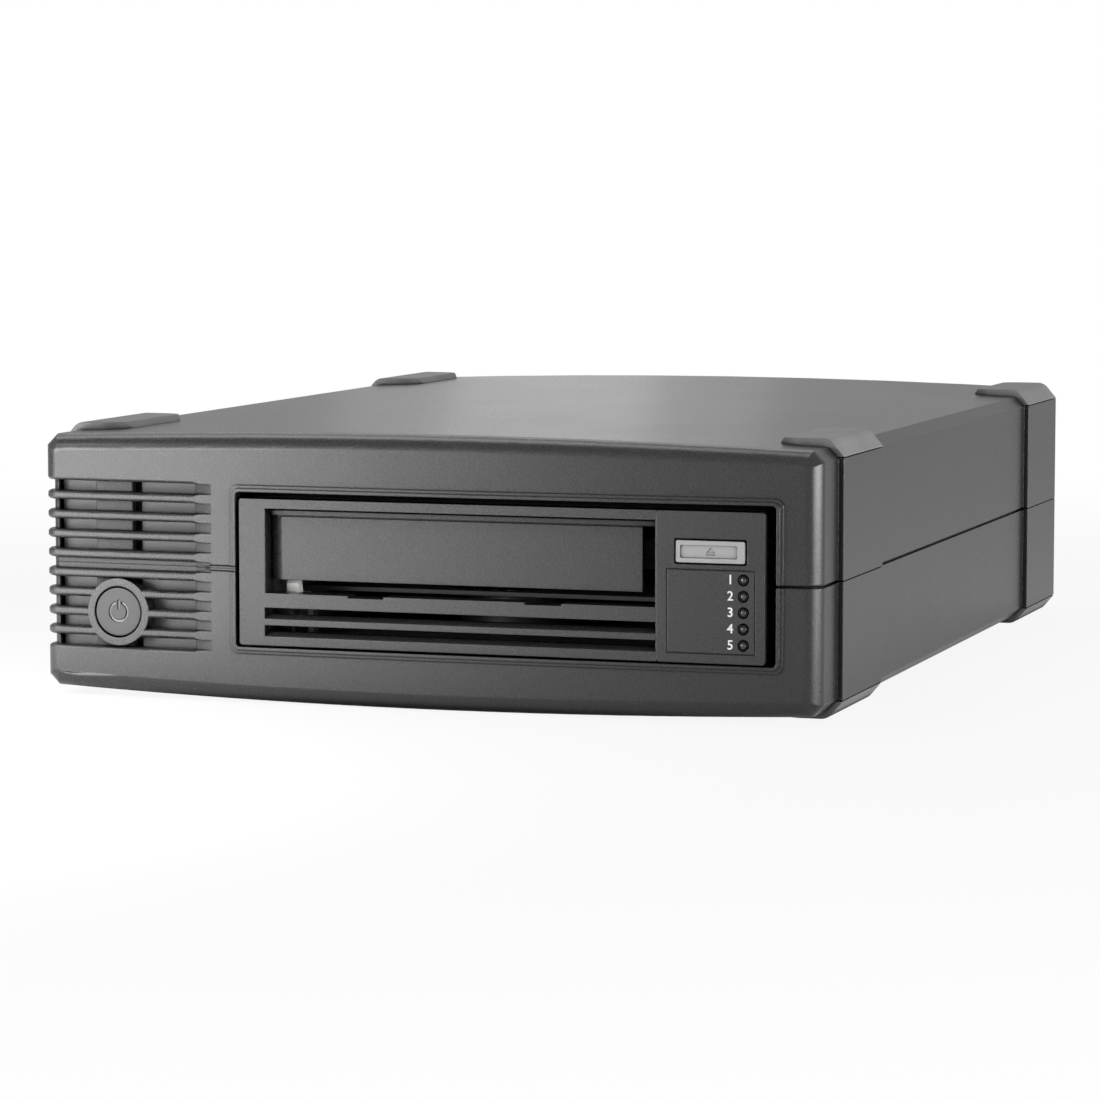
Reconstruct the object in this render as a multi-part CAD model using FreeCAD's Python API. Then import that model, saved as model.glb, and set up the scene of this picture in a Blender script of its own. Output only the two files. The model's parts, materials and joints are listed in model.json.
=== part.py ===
import FreeCAD, Part
import math
import os

V = FreeCAD.Vector

# Desktop tape drive: a half-height drive in a two-part moulded case.
# Millimetres. X runs to the right, Y to the back, Z up, floor at Z = 0.

# ------------------------------------------------------- the cartridge
cartridge_w = 105.4
cartridge_h = 21.5
cartridge_d = 102.0

# ---------------------------------------------------------------- case
left_room = 59.5         # case side to the left end of the bezel
right_room = 14.4        # right end of the bezel to the case side
rear_room = 95.9         # back of the drive to the rear edge
bezel_rise = 13.9        # bezel above the lower corner edge
bezel_above = 16.1       # upper corner edge above the bezel
foot_height = 2.3        # lower corner edge above the floor
crown = 2.2              # rise of the top and bottom at mid width
bow = 2.5                # bulge of the front at mid width
wall = 2.5
front_wall = 3.0
edge_cut = 3.0           # flat chamfer along the long edges
corner_r = 4.5           # rounding of the front: its rim and upright corners
seam_up = 20.65          # seam above the bottom of the bezel
seam_gap = 0.8
seam_deep = 1.0
tongue_t = 0.9
tongue_h = 2.0
ridge_h = 1.4            # flush joint left of the bay, between two fine lines
ridge_line = 0.25

# ------------------------------------------- raised bands and foot caps
band_w = 43.0
band_proud = 1.5
band_gap = 0.3
front_band_set = 17.75   # band behind the front corner line
rear_band_set = 7.0      # band before the rear edge
cap_bevel_w = 4.0
cap_bevel_h = 4.8
cap_edge = 4.0           # rounding between the bevel and the top
cap_flat = 13.0
cap_ramp = 2.2
cap_round = 8.0
cap_peg_r = 2.0
cap_peg_pitch = 22.0
cap_peg_len = 9.0

# -------------------------------------------------------- front vents
vent_count = 9
vent_pitch = 5.35
vent_h = 2.8
vent_set = 13.0          # full depth ends this far left of the bay
vent_ramp = 5.6          # then a ramp up to the face
vent_side = 8.0          # run along the left side, behind the corner
vent_deep = 1.9          # depth of the grooves round the corner
vent_solid = 4.0         # corner left closed behind the grooves
rib_nose = 1.27          # rounded front of each rib
rib_flat = 0.12          # taken off the nose where it meets the face
post_w = 10.8
post_set = 7.3           # left edge of the post from the button's centre
post_t = 2.4
baffle_set = 4.4
baffle_step = 4.4
baffle_t = 1.2

# ------------------------------------------------------- power button
button_in = 22.7         # centre from the case side
button_up = 21.4         # centre above the lower corner edge
button_r = 6.65
button_gap = 0.5
button_boss = 9.3
button_sink = 0.3
button_travel = 1.2
button_flange = 1.4      # flange behind the boss, beyond the face's radius
button_flange_t = 1.2
button_rest = 0.3        # boss to the flange
button_boss_in = 0.5     # boss behind the inner face of the front
button_stem_r = 2.3
button_stem = 17.0
switch_deep = 14.0
switch_w = 12.0

# ------------------------------------------------------ bay and its bead
bay_gap_left = 1.0
bay_gap_right = 2.7
bay_gap_low = 0.6
bay_gap_high = 1.8
bay_round = 1.2
bead_w = 1.8
bead_step = 0.45

# -------------------------------------------------------- drive bezel
slot_set = 7.6           # slot from the left end of the bezel
slot_rise = 14.35        # slot above the bottom of the bezel
slot_play = 2.6          # beside the cartridge, each side
slot_extra = 1.55        # above the cartridge, for the folded door
bezel_top = 2.6          # bezel above the slot
bezel_deep = 6.0
bezel_face_t = 3.4
bezel_rim = 1.6
panel_w = 29.6           # dark control panel at the right end
panel_gap = 0.3
panel_t = 1.4
lip_notch_w = 10.3
lip_notch_deep = 0.6
lip_notch_a = 23.9
lip_notch_b = 74.3
grille_h = 3.1
grille_drop = 3.95
grille_pitch = 4.8
grille_bevel = 1.2

# ------------------------------------------------------ cartridge door
door_recess = 3.0
door_t = 1.2
door_gap_end = 0.6
door_right_gap = 4.4
door_bevel = 3.3
door_low_gap = 3.55      # opening left under the door
door_line = 0.4
door_line_drop = 1.25
door_pin_r = 0.5
door_pin_len = 1.6
door_clear = 1.6         # folded door to the tray
pin_fit = 0.06
lever_in = 4.8           # sprung feeler at the left of the mouth
lever_w = 3.6
lever_back = 9.75
lever_drop = 3.25
lever_reach = 7.8
lever_tab = 3.05
lever_pin_r = 1.0

# ------------------------------------------------- controls and lights
eject_drop = 10.6        # centre below the top of the bezel
eject_w = 18.8
eject_h = 5.8
eject_gap = 0.5
eject_travel = 0.9
eject_dish = 0.5
eject_stem_r = 1.4
lamp_in = 5.8            # centre from the right end of the bezel
lamp_drop = 7.2          # first lamp below the eject button
lamp_pitch = 4.3
lamp_r = 1.25
lamp_gap = 0.3
lamp_count = 5
board_t = 1.6
front_board_back = 10.2  # board face behind the bezel face

# ------------------------------------------------------- drive chassis
bezel_over = 1.0         # bezel beyond the chassis, each side
chassis_over = 0.3       # chassis beyond the bezel, top and bottom
chassis_wall = 2.0
cover_t = 1.0
side_screw_ya = 46.7
side_screw_yb = 166.7
side_screw_up = 19.8
guide_gap = 0.4
guide_wall_t = 3.5
guide_h = 12.0
runner_up = 7.4
runner_h = 2.0
runner_w = 2.0
connector_in = 41.5      # centre of the rear connector from the left side
connector_w = 45.2
connector_h = 8.2
connector_up = 6.2

# ----------------------------------------------------- cartridge tray
chuck_play = 2.0         # hole in the tray round the chuck
tray_rim = 3.0           # tray floor before that hole
tray_play = 0.9
tray_t = 1.2
tray_h = 16.0
tray_travel = 15.0
gear_teeth = 14
gear_module = 1.0
gear_w = 3.0
gear_set = 7.0
gear_bore = 1.5
gear_rise = 0.6
backlash = 0.36
rack_bar = 3.4
loader_can_r = 7.5
loader_can_h = 24.0

# ------------------------------------------------------- tape transport
chuck_r = 17.0
chuck_teeth = 20
chuck_tooth_h = 1.4
arm_side = 43.5          # arm pivot from the left wall
arm_back = 43.0          # arm pivot behind the loaded tray
transport_back = 55.8    # back of the chassis behind the arm pivot
reel_gap = 13.0          # arm pivot to the reel
reel_side = 11.6         # reel to the right wall
reel_front = 10.0        # loaded tray to the reel
reel_hub_r = 18.0
reel_flange_t = 1.1
tape_w = 12.65
shaft_r = 3.0
shaft_fit = 0.08
motor_r = 21.0
motor_h = 5.6
roller_r = 4.0
roller_lip = 0.8
roller_pin_r = 1.5
roller_offsets = [(-31.0, -32.0), (-25.0, -16.0), (-25.0, 24.0), (-7.0, 36.0)]
head_left = 37.0
head_back = 4.0
head_w = 17.0
head_l = 18.0
head_h = 9.0
head_travel = 2.0
head_pin_r = 1.2
head_pin_pitch = 12.0
arm_len = 33.0
arm_w = 6.0
arm_t = 1.6
arm_rest = 222.0
arm_rise = 1.0
arm_pin_r = 2.0
board_drop = 5.3

# ------------------------------------------------------- inside the case
cradle_t = 1.2
cradle_side = 26.0
cradle_post_r = 4.0
cradle_in = 12.0
cradle_front = 34.7
cradle_back = 20.0
screw_r = 1.5
head_r = 2.8
screw_head_h = 2.2
hole_play = 0.1
seat_below = 12.0        # screw seat in a case post, below its joint
seat_cradle = 7.0
board_screw = 5.0
case_post_in = 8.8
case_post_front = 74.3
case_post_back = 67.7
case_post_r = 4.4
psu_gap = 4.5
psu_right_gap = 10.3
psu_end_gap = 8.0
psu_up = 11.4
link_w = 66.0
link_len = 50.0
link_up = 14.8
link_side = 26.0         # right end of the link board from the connector's centre
board_post_r = 3.2

# ------------------------------------------------------------ rear panel
rear_set = 5.0           # panel face before the rear edge
rear_t = 1.2
rear_groove = 0.8
fan_in = 49.0            # fan centre from the right side
fan_size = 60.0
fan_deep = 20.0
fan_wall = 1.8
fan_hub_r = 13.0
fan_pitch = 50.0
fan_blades = 7
fan_play = 0.9
fan_bar = 3.2
fan_slit = 1.8
inlet_in = 27.0          # inlet centre from the left side
inlet_up = 24.4
inlet_w = 27.0
inlet_h = 19.6
inlet_deep = 21.0
inlet_flange_w = 48.0
inlet_flange_h = 24.0
inlet_flange_t = 2.6
inlet_screw_in = 4.5
inlet_wall = 1.6
inlet_pin_pitch = 7.0
port_pitch = 32.0
port_w = 26.0
port_h = 10.0
port_deep = 24.0
port_wall = 1.1
port_proud = 0.6

# ---------------------------------------------- derived: widths from the left
slot_w = cartridge_w + 2 * slot_play
slot_h = cartridge_h + slot_extra
bezel_w = slot_set + slot_w + panel_gap + panel_w
case_half = (left_room + bezel_w + right_room) / 2
bezel_left = left_room - case_half
bezel_right = bezel_left + bezel_w
slot_left = bezel_left + slot_set
slot_right = slot_left + slot_w
panel_left = slot_right + panel_gap
bay_left = bezel_left - bay_gap_left
bay_right = bezel_right + bay_gap_right
chassis_left = bezel_left + bezel_over
chassis_right = bezel_right - bezel_over
outer_x = case_half + band_proud
vent_end = bay_left - vent_set
button_x = button_in - case_half
post_left = button_x - post_set
button_seat = front_wall + button_boss_in
button_back = button_seat + button_rest + button_flange_t
eject_x = (panel_left + bezel_right) / 2
lamp_x = bezel_right - lamp_in
lever_x = slot_left + lever_in

# -------------------------------------------------- derived: heights from the floor
bezel_h = slot_rise + slot_h + bezel_top
case_low = foot_height
case_high = case_low + bezel_rise + bezel_h + bezel_above
case_mid = (case_low + case_high) / 2
case_total = case_low + case_high
bezel_low = case_low + bezel_rise
bezel_high = bezel_low + bezel_h
bay_low = bezel_low - bay_gap_low
bay_high = bezel_high + bay_gap_high
seam = bezel_low + seam_up
cap_line = case_total - cap_bevel_h
button_z = case_low + button_up
slot_low = bezel_low + slot_rise
slot_high = slot_low + slot_h
door_axis_z = slot_high - door_t / 2 - 0.25
door_low = slot_low + door_low_gap
door_line_z = door_axis_z - door_line_drop
lever_z = slot_low - lever_drop
lever_top = slot_low + lever_tab
eject_z = bezel_high - eject_drop
lamp_z = eject_z - lamp_drop
chassis_low = bezel_low - chassis_over
chassis_floor = chassis_low + chassis_wall
cover_low = bezel_high + chassis_over - cover_t
tray_low = slot_low - 0.05 - tray_t
tray_top = tray_low + tray_h
runner_z = tray_low + runner_up
guide_low = tray_low + 1.4
gear_low = tray_top + gear_rise
reel_low = tray_low - 0.1
reel_top = reel_low + 2 * reel_flange_t + tape_w
arm_z = reel_top + arm_rise
board_z = cover_low - board_drop
cradle_low = chassis_low - cradle_t
psu_z = case_low + psu_up
link_z = case_low + link_up
inlet_z = case_low + inlet_up

# ---------------------------------------------- derived: depths from the bezel face
bezel_set = bow - 0.05
tray_deep = cartridge_d / 2 + chuck_r + chuck_play + tray_rim
door_axis_in = door_recess + door_pin_r
tray_in = door_axis_in + door_axis_z - door_low + door_clear
drive_len = tray_in + tray_deep + tray_travel + arm_back + transport_back
case_depth = drive_len - bezel_set + rear_room
total_depth = case_depth + bow + 2 * bead_step
case_rear = total_depth / 2
case_front = case_rear - case_depth
bezel_front = case_front - bezel_set
bezel_back = bezel_front + bezel_deep
door_face = bezel_front + door_recess
door_axis_y = bezel_front + door_axis_in
front_board_y = bezel_front + front_board_back
lever_y = bezel_back + lever_back
chassis_front = bezel_back
chassis_back = bezel_front + drive_len
tray_front = bezel_front + tray_in
tray_back = tray_front + tray_deep
loaded_back = tray_back + tray_travel
supply_y = loaded_back - cartridge_d / 2
rear_y = case_rear - rear_set
bands = [
    (case_front + front_band_set, case_front + front_band_set + band_w),
    (case_rear - rear_band_set - band_w, case_rear - rear_band_set),
]

# ------------------------------------------------------ derived: inner places
tray_x = (slot_left + slot_right) / 2
tray_w = cartridge_w + 2 * tray_play + 2 * tray_t
tray_left = tray_x - tray_w / 2
tray_right = tray_x + tray_w / 2
guide_face = tray_right + guide_gap
rack_line = guide_face + guide_wall_t + 0.6 + rack_bar
gear_r = gear_teeth * gear_module / 2
gear_x = rack_line + gear_r
gear_y = supply_y + gear_set
arm_x = chassis_left + chassis_wall + arm_side
arm_y = loaded_back + arm_back
reel_r = (chassis_right - chassis_wall - reel_side - arm_x - reel_gap) / 2
reel_x = arm_x + reel_gap + reel_r
reel_y = loaded_back + reel_front + reel_r
roller_spots = [(arm_x + dx, arm_y + dy) for dx, dy in roller_offsets]
head_x = arm_x - head_left
head_y = arm_y + head_back
connector_x = chassis_left + connector_in
side_screws = [chassis_front + side_screw_ya, chassis_front + side_screw_yb]
side_screw_z = chassis_low + side_screw_up
cradle_spots = [
    (x, y)
    for x in (chassis_left + cradle_in, chassis_right - cradle_in)
    for y in (chassis_front + cradle_front, chassis_back - cradle_back)
]
case_post_ya = case_front + case_post_front
case_post_yb = case_rear - case_post_back
case_posts = [
    (side * (case_half - case_post_in), y) for side in (-1, 1) for y in (case_post_ya, case_post_yb)
]
case_joint = seam - 4
psu_left = -case_half + wall + psu_gap
psu_right = chassis_left - cradle_t - psu_right_gap
psu_front = case_post_ya + case_post_r + 9.6
psu_back = case_post_yb - psu_end_gap
psu_posts = [
    (x, y) for x in (psu_left + psu_gap, psu_right - psu_gap) for y in (psu_front + 6, psu_back - 6)
]
fan_x = case_half - fan_in
fan_z = case_mid
inlet_x = inlet_in - case_half
link_right = connector_x + link_side
link_x = link_right - link_w / 2
link_back = rear_y - rear_t
link_front = link_back - link_len
link_posts = [
    (x, y)
    for x in (link_right - link_w + 5, link_right - 5)
    for y in (link_front + 5, link_back - 32)
]


# --------------------------------------------------------------- helpers
def box(x0, x1, y0, y1, z0, z1):
    return Part.makeBox(x1 - x0, y1 - y0, z1 - z0, V(x0, y0, z0))


def rod(r, x, y, z0, z1):
    return Part.makeCylinder(r, z1 - z0, V(x, y, z0))


def rod_y(r, x, z, y0, y1):
    return Part.makeCylinder(r, y1 - y0, V(x, y0, z), V(0, 1, 0))


def rod_x(r, y, z, x0, x1):
    return Part.makeCylinder(r, x1 - x0, V(x0, y, z), V(1, 0, 0))


def prism(points, run):
    face = Part.Face(Part.makePolygon([V(*p) for p in points] + [V(*points[0])]))
    return face.extrude(V(*run))


def fuse(shapes):
    return shapes[0].multiFuse(shapes[1:]).removeSplitter() if len(shapes) > 1 else shapes[0]


def less(shape, cuts):
    return shape.cut(cuts)


def round_box(x0, x1, y0, y1, z0, z1, r, axis):
    solid = box(x0, x1, y0, y1, z0, z1)
    edges = []
    for edge in solid.Edges:
        if len(edge.Vertexes) < 2:
            continue
        run = edge.Vertexes[1].Point.sub(edge.Vertexes[0].Point)
        if abs(abs(run.dot(axis)) - run.Length) < 1e-6:
            edges.append(edge)
    return solid.makeFillet(r, edges)


def flip_x(shape):
    return shape.mirror(V(0, 0, 0), V(1, 0, 0))


def flip_z(shape):
    return shape.mirror(V(0, 0, case_mid), V(0, 0, 1))


def hexagon(r, x, y, z0, z1):
    points = []
    for i in range(6):
        a = i * math.pi / 3
        points.append((x + r * math.cos(a), y + r * math.sin(a), z0))
    return prism(points, (0, 0, z1 - z0))


def screw(length):
    """Cap screw along +Z from its seat at the origin, head below."""
    head = rod(head_r, 0, 0, -screw_head_h, 0)
    shank = rod(screw_r, 0, 0, -0.2, length)
    return head.fuse(shank).removeSplitter().cut(hexagon(1.3, 0, 0, -screw_head_h, -0.8))


def put(shape, x, y, z, axis=None, angle=0):
    moved = shape.copy()
    if axis is not None:
        moved.rotate(V(0, 0, 0), axis, angle)
    moved.translate(V(x, y, z))
    return moved


# ------------------------------------------------------------- case forms
def case_section(inset, y0, y1):
    """Case cross-section: straight sides, chamfers, crowned top and bottom."""
    h = case_half - inset
    low = case_low + inset
    high = case_high - inset
    c = edge_cut - inset * (2 - math.sqrt(2))
    a = [V(-h, y0, low + c), V(-h, y0, high - c), V(-h + c, y0, high), V(h - c, y0, high)]
    b = [V(h, y0, high - c), V(h, y0, low + c), V(h - c, y0, low), V(-h + c, y0, low)]
    edges = [
        Part.LineSegment(a[0], a[1]),
        Part.LineSegment(a[1], a[2]),
        Part.Arc(a[2], V(0, y0, high + crown), a[3]),
        Part.LineSegment(a[3], b[0]),
        Part.LineSegment(b[0], b[1]),
        Part.LineSegment(b[1], b[2]),
        Part.Arc(b[2], V(0, y0, low - crown), b[3]),
        Part.LineSegment(b[3], a[0]),
    ]
    return Part.Face(Part.Wire([e.toShape() for e in edges])).extrude(V(0, y1 - y0, 0))


def case_plan(side, front, r):
    """Column with the plan of the case: bowed front, open-ended at the rear."""
    h = case_half - side
    y = case_front + front
    back = case_rear + 5
    base = -10
    p = [V(-h, back, base), V(-h, y, base), V(h, y, base), V(h, back, base)]
    edges = [
        Part.LineSegment(p[0], p[1]),
        Part.Arc(p[1], V(0, y - bow, base), p[2]),
        Part.LineSegment(p[2], p[3]),
        Part.LineSegment(p[3], p[0]),
    ]
    solid = Part.Face(Part.Wire([e.toShape() for e in edges])).extrude(V(0, 0, case_total + 20))
    if r <= 0:
        return solid
    corners = []
    for edge in solid.Edges:
        box_e = edge.BoundBox
        if box_e.ZLength > case_total and abs(box_e.YMin - y) < 1e-3:
            corners.append(edge)
    return solid.makeFillet(r, corners)


def front_y(x):
    """Y of the bowed front face at a given X."""
    r = (case_half ** 2 + bow ** 2) / (2 * bow)
    return case_front - bow + r - math.sqrt(r * r - x * x)


def case_outer():
    solid = case_section(0, case_front - 20, case_rear).common(case_plan(0, 0, 0))
    front = []
    for edge in solid.Edges:
        b = edge.BoundBox
        if b.YMax < case_front + 0.5:
            front.append(edge)
    return solid.makeFillet(corner_r, front)


def case_cavity():
    return case_section(wall, case_front - 20, case_rear + 2).common(
        case_plan(wall, front_wall, corner_r - wall)
    )


def bead_ring(spread, raise_by):
    ring = round_box(
        bay_left - spread, bay_right + spread, case_front - 20, case_front + 5,
        bay_low - spread, bay_high + spread, bay_round + spread * 0.6, V(0, 1, 0),
    )
    skin = case_plan(0, -raise_by, corner_r).cut(case_plan(0, 0.5, corner_r))
    return ring.common(skin)


def bow_centre():
    """Axis of the bowed front, and the radius of the bow."""
    r = (case_half ** 2 + bow ** 2) / (2 * bow)
    return V(0, case_front - bow + r, 0), r


def louvre_profile(z):
    """Groove in the plane X = 0: a flat floor, and a mouth that rounds the ribs.

    Y is depth, measured inwards from the face."""
    h = vent_h / 2
    a = math.acos((rib_nose - rib_flat) / rib_nose)
    centre = rib_nose - rib_flat
    half = rib_nose * math.sqrt(0.5)
    side = []
    for up in (1, -1):
        mid = V(0, centre - half, z + up * (h + rib_nose - half))
        end = V(0, centre - rib_nose * math.cos(a), z + up * (h + rib_nose * (1 - math.sin(a))))
        side.append((V(0, vent_deep, z + up * h), V(0, centre, z + up * h), mid, end, V(0, -3, end.z)))
    top, low = side
    edges = [
        Part.LineSegment(low[0], top[0]),
        Part.LineSegment(top[0], top[1]),
        Part.Arc(top[1], top[2], top[3]),
        Part.LineSegment(top[3], top[4]),
        Part.LineSegment(top[4], low[4]),
        Part.LineSegment(low[4], low[3]),
        Part.Arc(low[3], low[2], low[1]),
        Part.LineSegment(low[1], low[0]),
    ]
    return Part.Face(Part.Wire([e.toShape() for e in edges]))


def vent_cutter(z, full):
    """One louvre: along the left side, round the corner and over the front,
    ending in a ramp; a full louvre also opens into the case."""
    centre, r = bow_centre()
    pivot_x = corner_r - case_half
    pivot_y = centre.y - math.sqrt((r - corner_r) ** 2 - pivot_x ** 2)
    profile = louvre_profile(z)
    profile.translate(V(0, centre.y - r, 0))
    turn_end = math.degrees(math.asin(vent_end / r))
    turn_corner = math.degrees(math.atan2(pivot_x, centre.y - pivot_y))
    at_end = profile.copy()
    at_end.rotate(centre, V(0, 0, 1), turn_end)
    over = at_end.revolve(centre, V(0, 0, 1), turn_corner - turn_end)
    ramp_x = vent_end + vent_ramp
    lift = front_y(vent_end) - front_y(ramp_x) + vent_deep
    ramp = at_end.extrude(V(vent_ramp, -lift, 0))
    at_corner = profile.copy()
    at_corner.rotate(centre, V(0, 0, 1), turn_corner)
    pivot = V(pivot_x, pivot_y, 0)
    corner = at_corner.revolve(pivot, V(0, 0, 1), -90 - turn_corner)
    at_side = at_corner.copy()
    at_side.rotate(pivot, V(0, 0, 1), -90 - turn_corner)
    along = at_side.extrude(V(0, vent_side, 0))
    parts = [ramp, corner, along]
    if full:
        parts.append(box(
            vent_solid - case_half, vent_end, case_front - bow - 2, case_front + front_wall + 3,
            z - vent_h / 2, z + vent_h / 2,
        ))
    return over.fuse(parts)


def make_shells():
    outer = case_outer()
    cavity = case_cavity()
    shell = outer.cut(cavity)
    bead = bead_ring(bead_w, bead_step).fuse(bead_ring(bead_w / 2, 2 * bead_step))
    shell = shell.fuse(bead)

    reach = 2 * case_half + 20
    above = box(-reach, reach, -reach, reach, seam, case_total + 20)
    below = box(-reach, reach, -reach, reach, -20, seam)
    tongue = case_plan(wall - tongue_t, front_wall - tongue_t, corner_r - wall + tongue_t)
    tongue = tongue.common(box(-reach, reach, -reach, case_rear, seam, seam + tongue_h))
    tongue = tongue.cut(cavity)
    upper = shell.common(above).cut(tongue)
    lower = shell.common(below).fuse(tongue)

    groove = box(-reach, reach, -reach, case_rear, seam - seam_gap / 2, seam + seam_gap / 2)
    groove = groove.cut(case_plan(seam_deep, seam_deep, corner_r - seam_deep))
    keep_left = vent_end + vent_ramp - 1
    groove = groove.cut(box(keep_left, bay_left + 1, -reach, case_front + 5, 0, case_total))
    cuts = [groove]
    for side in (-1, 1):
        z = seam + side * ridge_h / 2
        line = box(keep_left, bay_left, -reach, case_front + 5, z - ridge_line / 2, z + ridge_line / 2)
        cuts.append(line.cut(case_plan(0.5, 0.5, corner_r - 0.5)))
    for i in range(vent_count):
        k = i - (vent_count - 1) / 2
        cuts.append(vent_cutter(seam + k * vent_pitch, abs(k) > 0.1))
    cuts.append(round_box(
        bay_left, bay_right, case_front - 20, case_front + 12, bay_low, bay_high,
        bay_round, V(0, 1, 0),
    ))
    upper = upper.cut(cuts)
    lower = lower.cut(cuts)

    # post behind the louvres, with the round boss of the power button
    face = front_y(post_left + post_w / 2)
    post = box(post_left, post_left + post_w, face + post_t, face + post_t + 2.4, -5, case_total)
    post = post.common(outer)
    b_face = front_y(button_x)
    boss = rod_y(button_boss, button_x, button_z, b_face - 2, b_face + button_seat).common(outer)
    relief = rod_y(button_boss, button_x, button_z, b_face + button_seat, b_face + 12)
    hole = rod_y(button_r + button_gap, button_x, button_z, b_face - 5, b_face + 12)
    upper = upper.fuse(post.common(above).cut(tongue))
    lower = lower.fuse([post.common(below).cut(relief), boss]).cut(hole)

    # raised bands, the joint between them and the foot caps left open
    ups = []
    downs = []
    holes = []
    for y0, y1 in bands:
        up = box(case_half - seam_deep, outer_x, y0, y1, seam + band_gap / 2, cap_line - band_gap)
        down = box(
            case_half - seam_deep, outer_x, y0, y1,
            cap_bevel_h + band_gap, seam - band_gap / 2,
        )
        ups += [up, flip_x(up)]
        downs += [down, flip_x(down)]
        for peg in cap_pegs(y0, y1):
            holes += [peg, flip_x(peg), flip_z(peg), flip_x(flip_z(peg))]
    upper = upper.fuse(ups)
    lower = lower.fuse(downs)

    # screw posts joining the halves, ribs tie them to the side walls
    posts_up = []
    posts_down = []
    bores = []
    for x, y in case_posts:
        side = 1 if x > 0 else -1
        posts_up.append(rod(case_post_r, x, y, case_joint, case_total).common(outer))
        posts_down.append(rod(case_post_r, x, y, 0, case_joint).common(outer))
        rib_x = sorted((x + side * (case_post_r - 0.6), side * (case_half - 1)))
        posts_down.append(box(rib_x[0], rib_x[1], y - 1, y + 1, case_low + 3, case_joint))
        posts_up.append(box(rib_x[0], rib_x[1], y - 1, y + 1, seam + tongue_h + 1, case_high - 4))
        bores.append(rod(head_r + 0.4, x, y, -1, case_joint - seat_below))
        bores.append(rod(screw_r + hole_play, x, y, -1, case_joint + 12))
    for x, y in cradle_spots:
        posts_down.append(rod(cradle_post_r, x, y, 0, cradle_low).common(outer))
        bores.append(rod(head_r + 0.4, x, y, -1, cradle_low - seat_cradle))
        bores.append(rod(screw_r + hole_play, x, y, -1, cradle_low + 1))
    for x, y in psu_posts:
        posts_down.append(rod(board_post_r, x, y, 0, psu_z).common(outer))
        bores.append(rod(screw_r + hole_play, x, y, psu_z - board_screw - 1, psu_z + 1))
    for x, y in link_posts:
        posts_down.append(rod(board_post_r, x, y, 0, link_z).common(outer))
        bores.append(rod(screw_r + hole_play, x, y, link_z - board_screw - 1, link_z + 1))
    panel = case_section(wall - rear_groove, rear_y - rear_t, rear_y)
    upper = upper.fuse(posts_up).cut(bores + holes + [panel])
    lower = lower.fuse(posts_down).cut(bores + holes + [panel])
    return upper.removeSplitter(), lower.removeSplitter()


# -------------------------------------------------------------- foot caps
def cap_pegs(y0, y1):
    x = outer_x - cap_bevel_w - cap_flat / 2
    mid = (y0 + y1) / 2
    pegs = []
    for side in (-1, 1):
        y = mid + side * cap_peg_pitch / 2
        pegs.append(rod(cap_peg_r, x, y, case_total - cap_peg_len, case_total - 1))
    return pegs


def foot_cap(y0, y1):
    toe = outer_x - cap_bevel_w - cap_flat - cap_ramp
    points = [
        (outer_x, y0, cap_line),
        (outer_x - cap_bevel_w, y0, case_total),
        (outer_x - cap_bevel_w - cap_flat, y0, case_total),
        (toe, y0, case_high),
        (toe, y0, cap_line),
    ]
    cap = prism(points, (0, y1 - y0, 0))
    ridge = []
    for edge in cap.Edges:
        b = edge.BoundBox
        if b.ZMin > case_total - 1e-3 and b.XMin > outer_x - cap_bevel_w - 1e-3:
            ridge.append(edge)
    cap = cap.makeFillet(cap_edge, ridge)
    outline = round_box(toe, outer_x + 20, y0, y1, cap_line - 5, case_total + 5, cap_round, V(0, 0, 1))
    cap = cap.common(outline).cut(case_section(0, y0 - 5, y1 + 5))
    return cap.fuse(cap_pegs(y0, y1)).removeSplitter()


def make_feet():
    tops = []
    lows = []
    for y0, y1 in bands:
        cap = foot_cap(y0, y1)
        tops += [cap, flip_x(cap)]
        lows += [flip_z(cap), flip_x(flip_z(cap))]
    return tops, lows


# ------------------------------------------------------- front left parts
def make_baffle():
    """Light sheet behind the louvres, stepped back round the post."""
    t = baffle_t
    near = case_front + baffle_set
    far = near + baffle_step
    left = vent_solid + 0.2 - case_half
    right = vent_end + 1.5
    a = post_left - 0.4
    b = post_left + post_w + 1.6
    z0 = case_low + wall + 1.5
    z1 = case_high - wall - 1.5
    points = [
        (left, near), (a, near), (a, far), (b, far), (b, near), (right, near),
        (right, near + t), (b + t, near + t), (b + t, far + t), (a - t, far + t),
        (a - t, near + t), (left, near + t),
    ]
    sheet = prism([(x, y, z0) for x, y in points], (0, 0, z1 - z0))
    window = rod_y(button_stem_r + 1.0, button_x, button_z, near - 5, far + 5)
    pressed = front_y(button_x) + button_back + button_travel
    room = rod_y(button_r + button_flange + button_gap, button_x, button_z, near - 5, pressed + button_gap)
    foot = box(left, right, near + t, near + 10, z0, z0 + t)
    foot = foot.cut(box(a - t, b + t, near - 5, near + 11, z0 - 1, z0 + 5))
    feet = []
    for x in (left + 4, right - 8):
        feet.append(box(x, x + 4, near + 2, near + 9, case_low, z0))
    pads = [f.common(case_cavity()) for f in feet]
    return fuse([sheet.cut([window, room]), foot] + pads)


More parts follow.
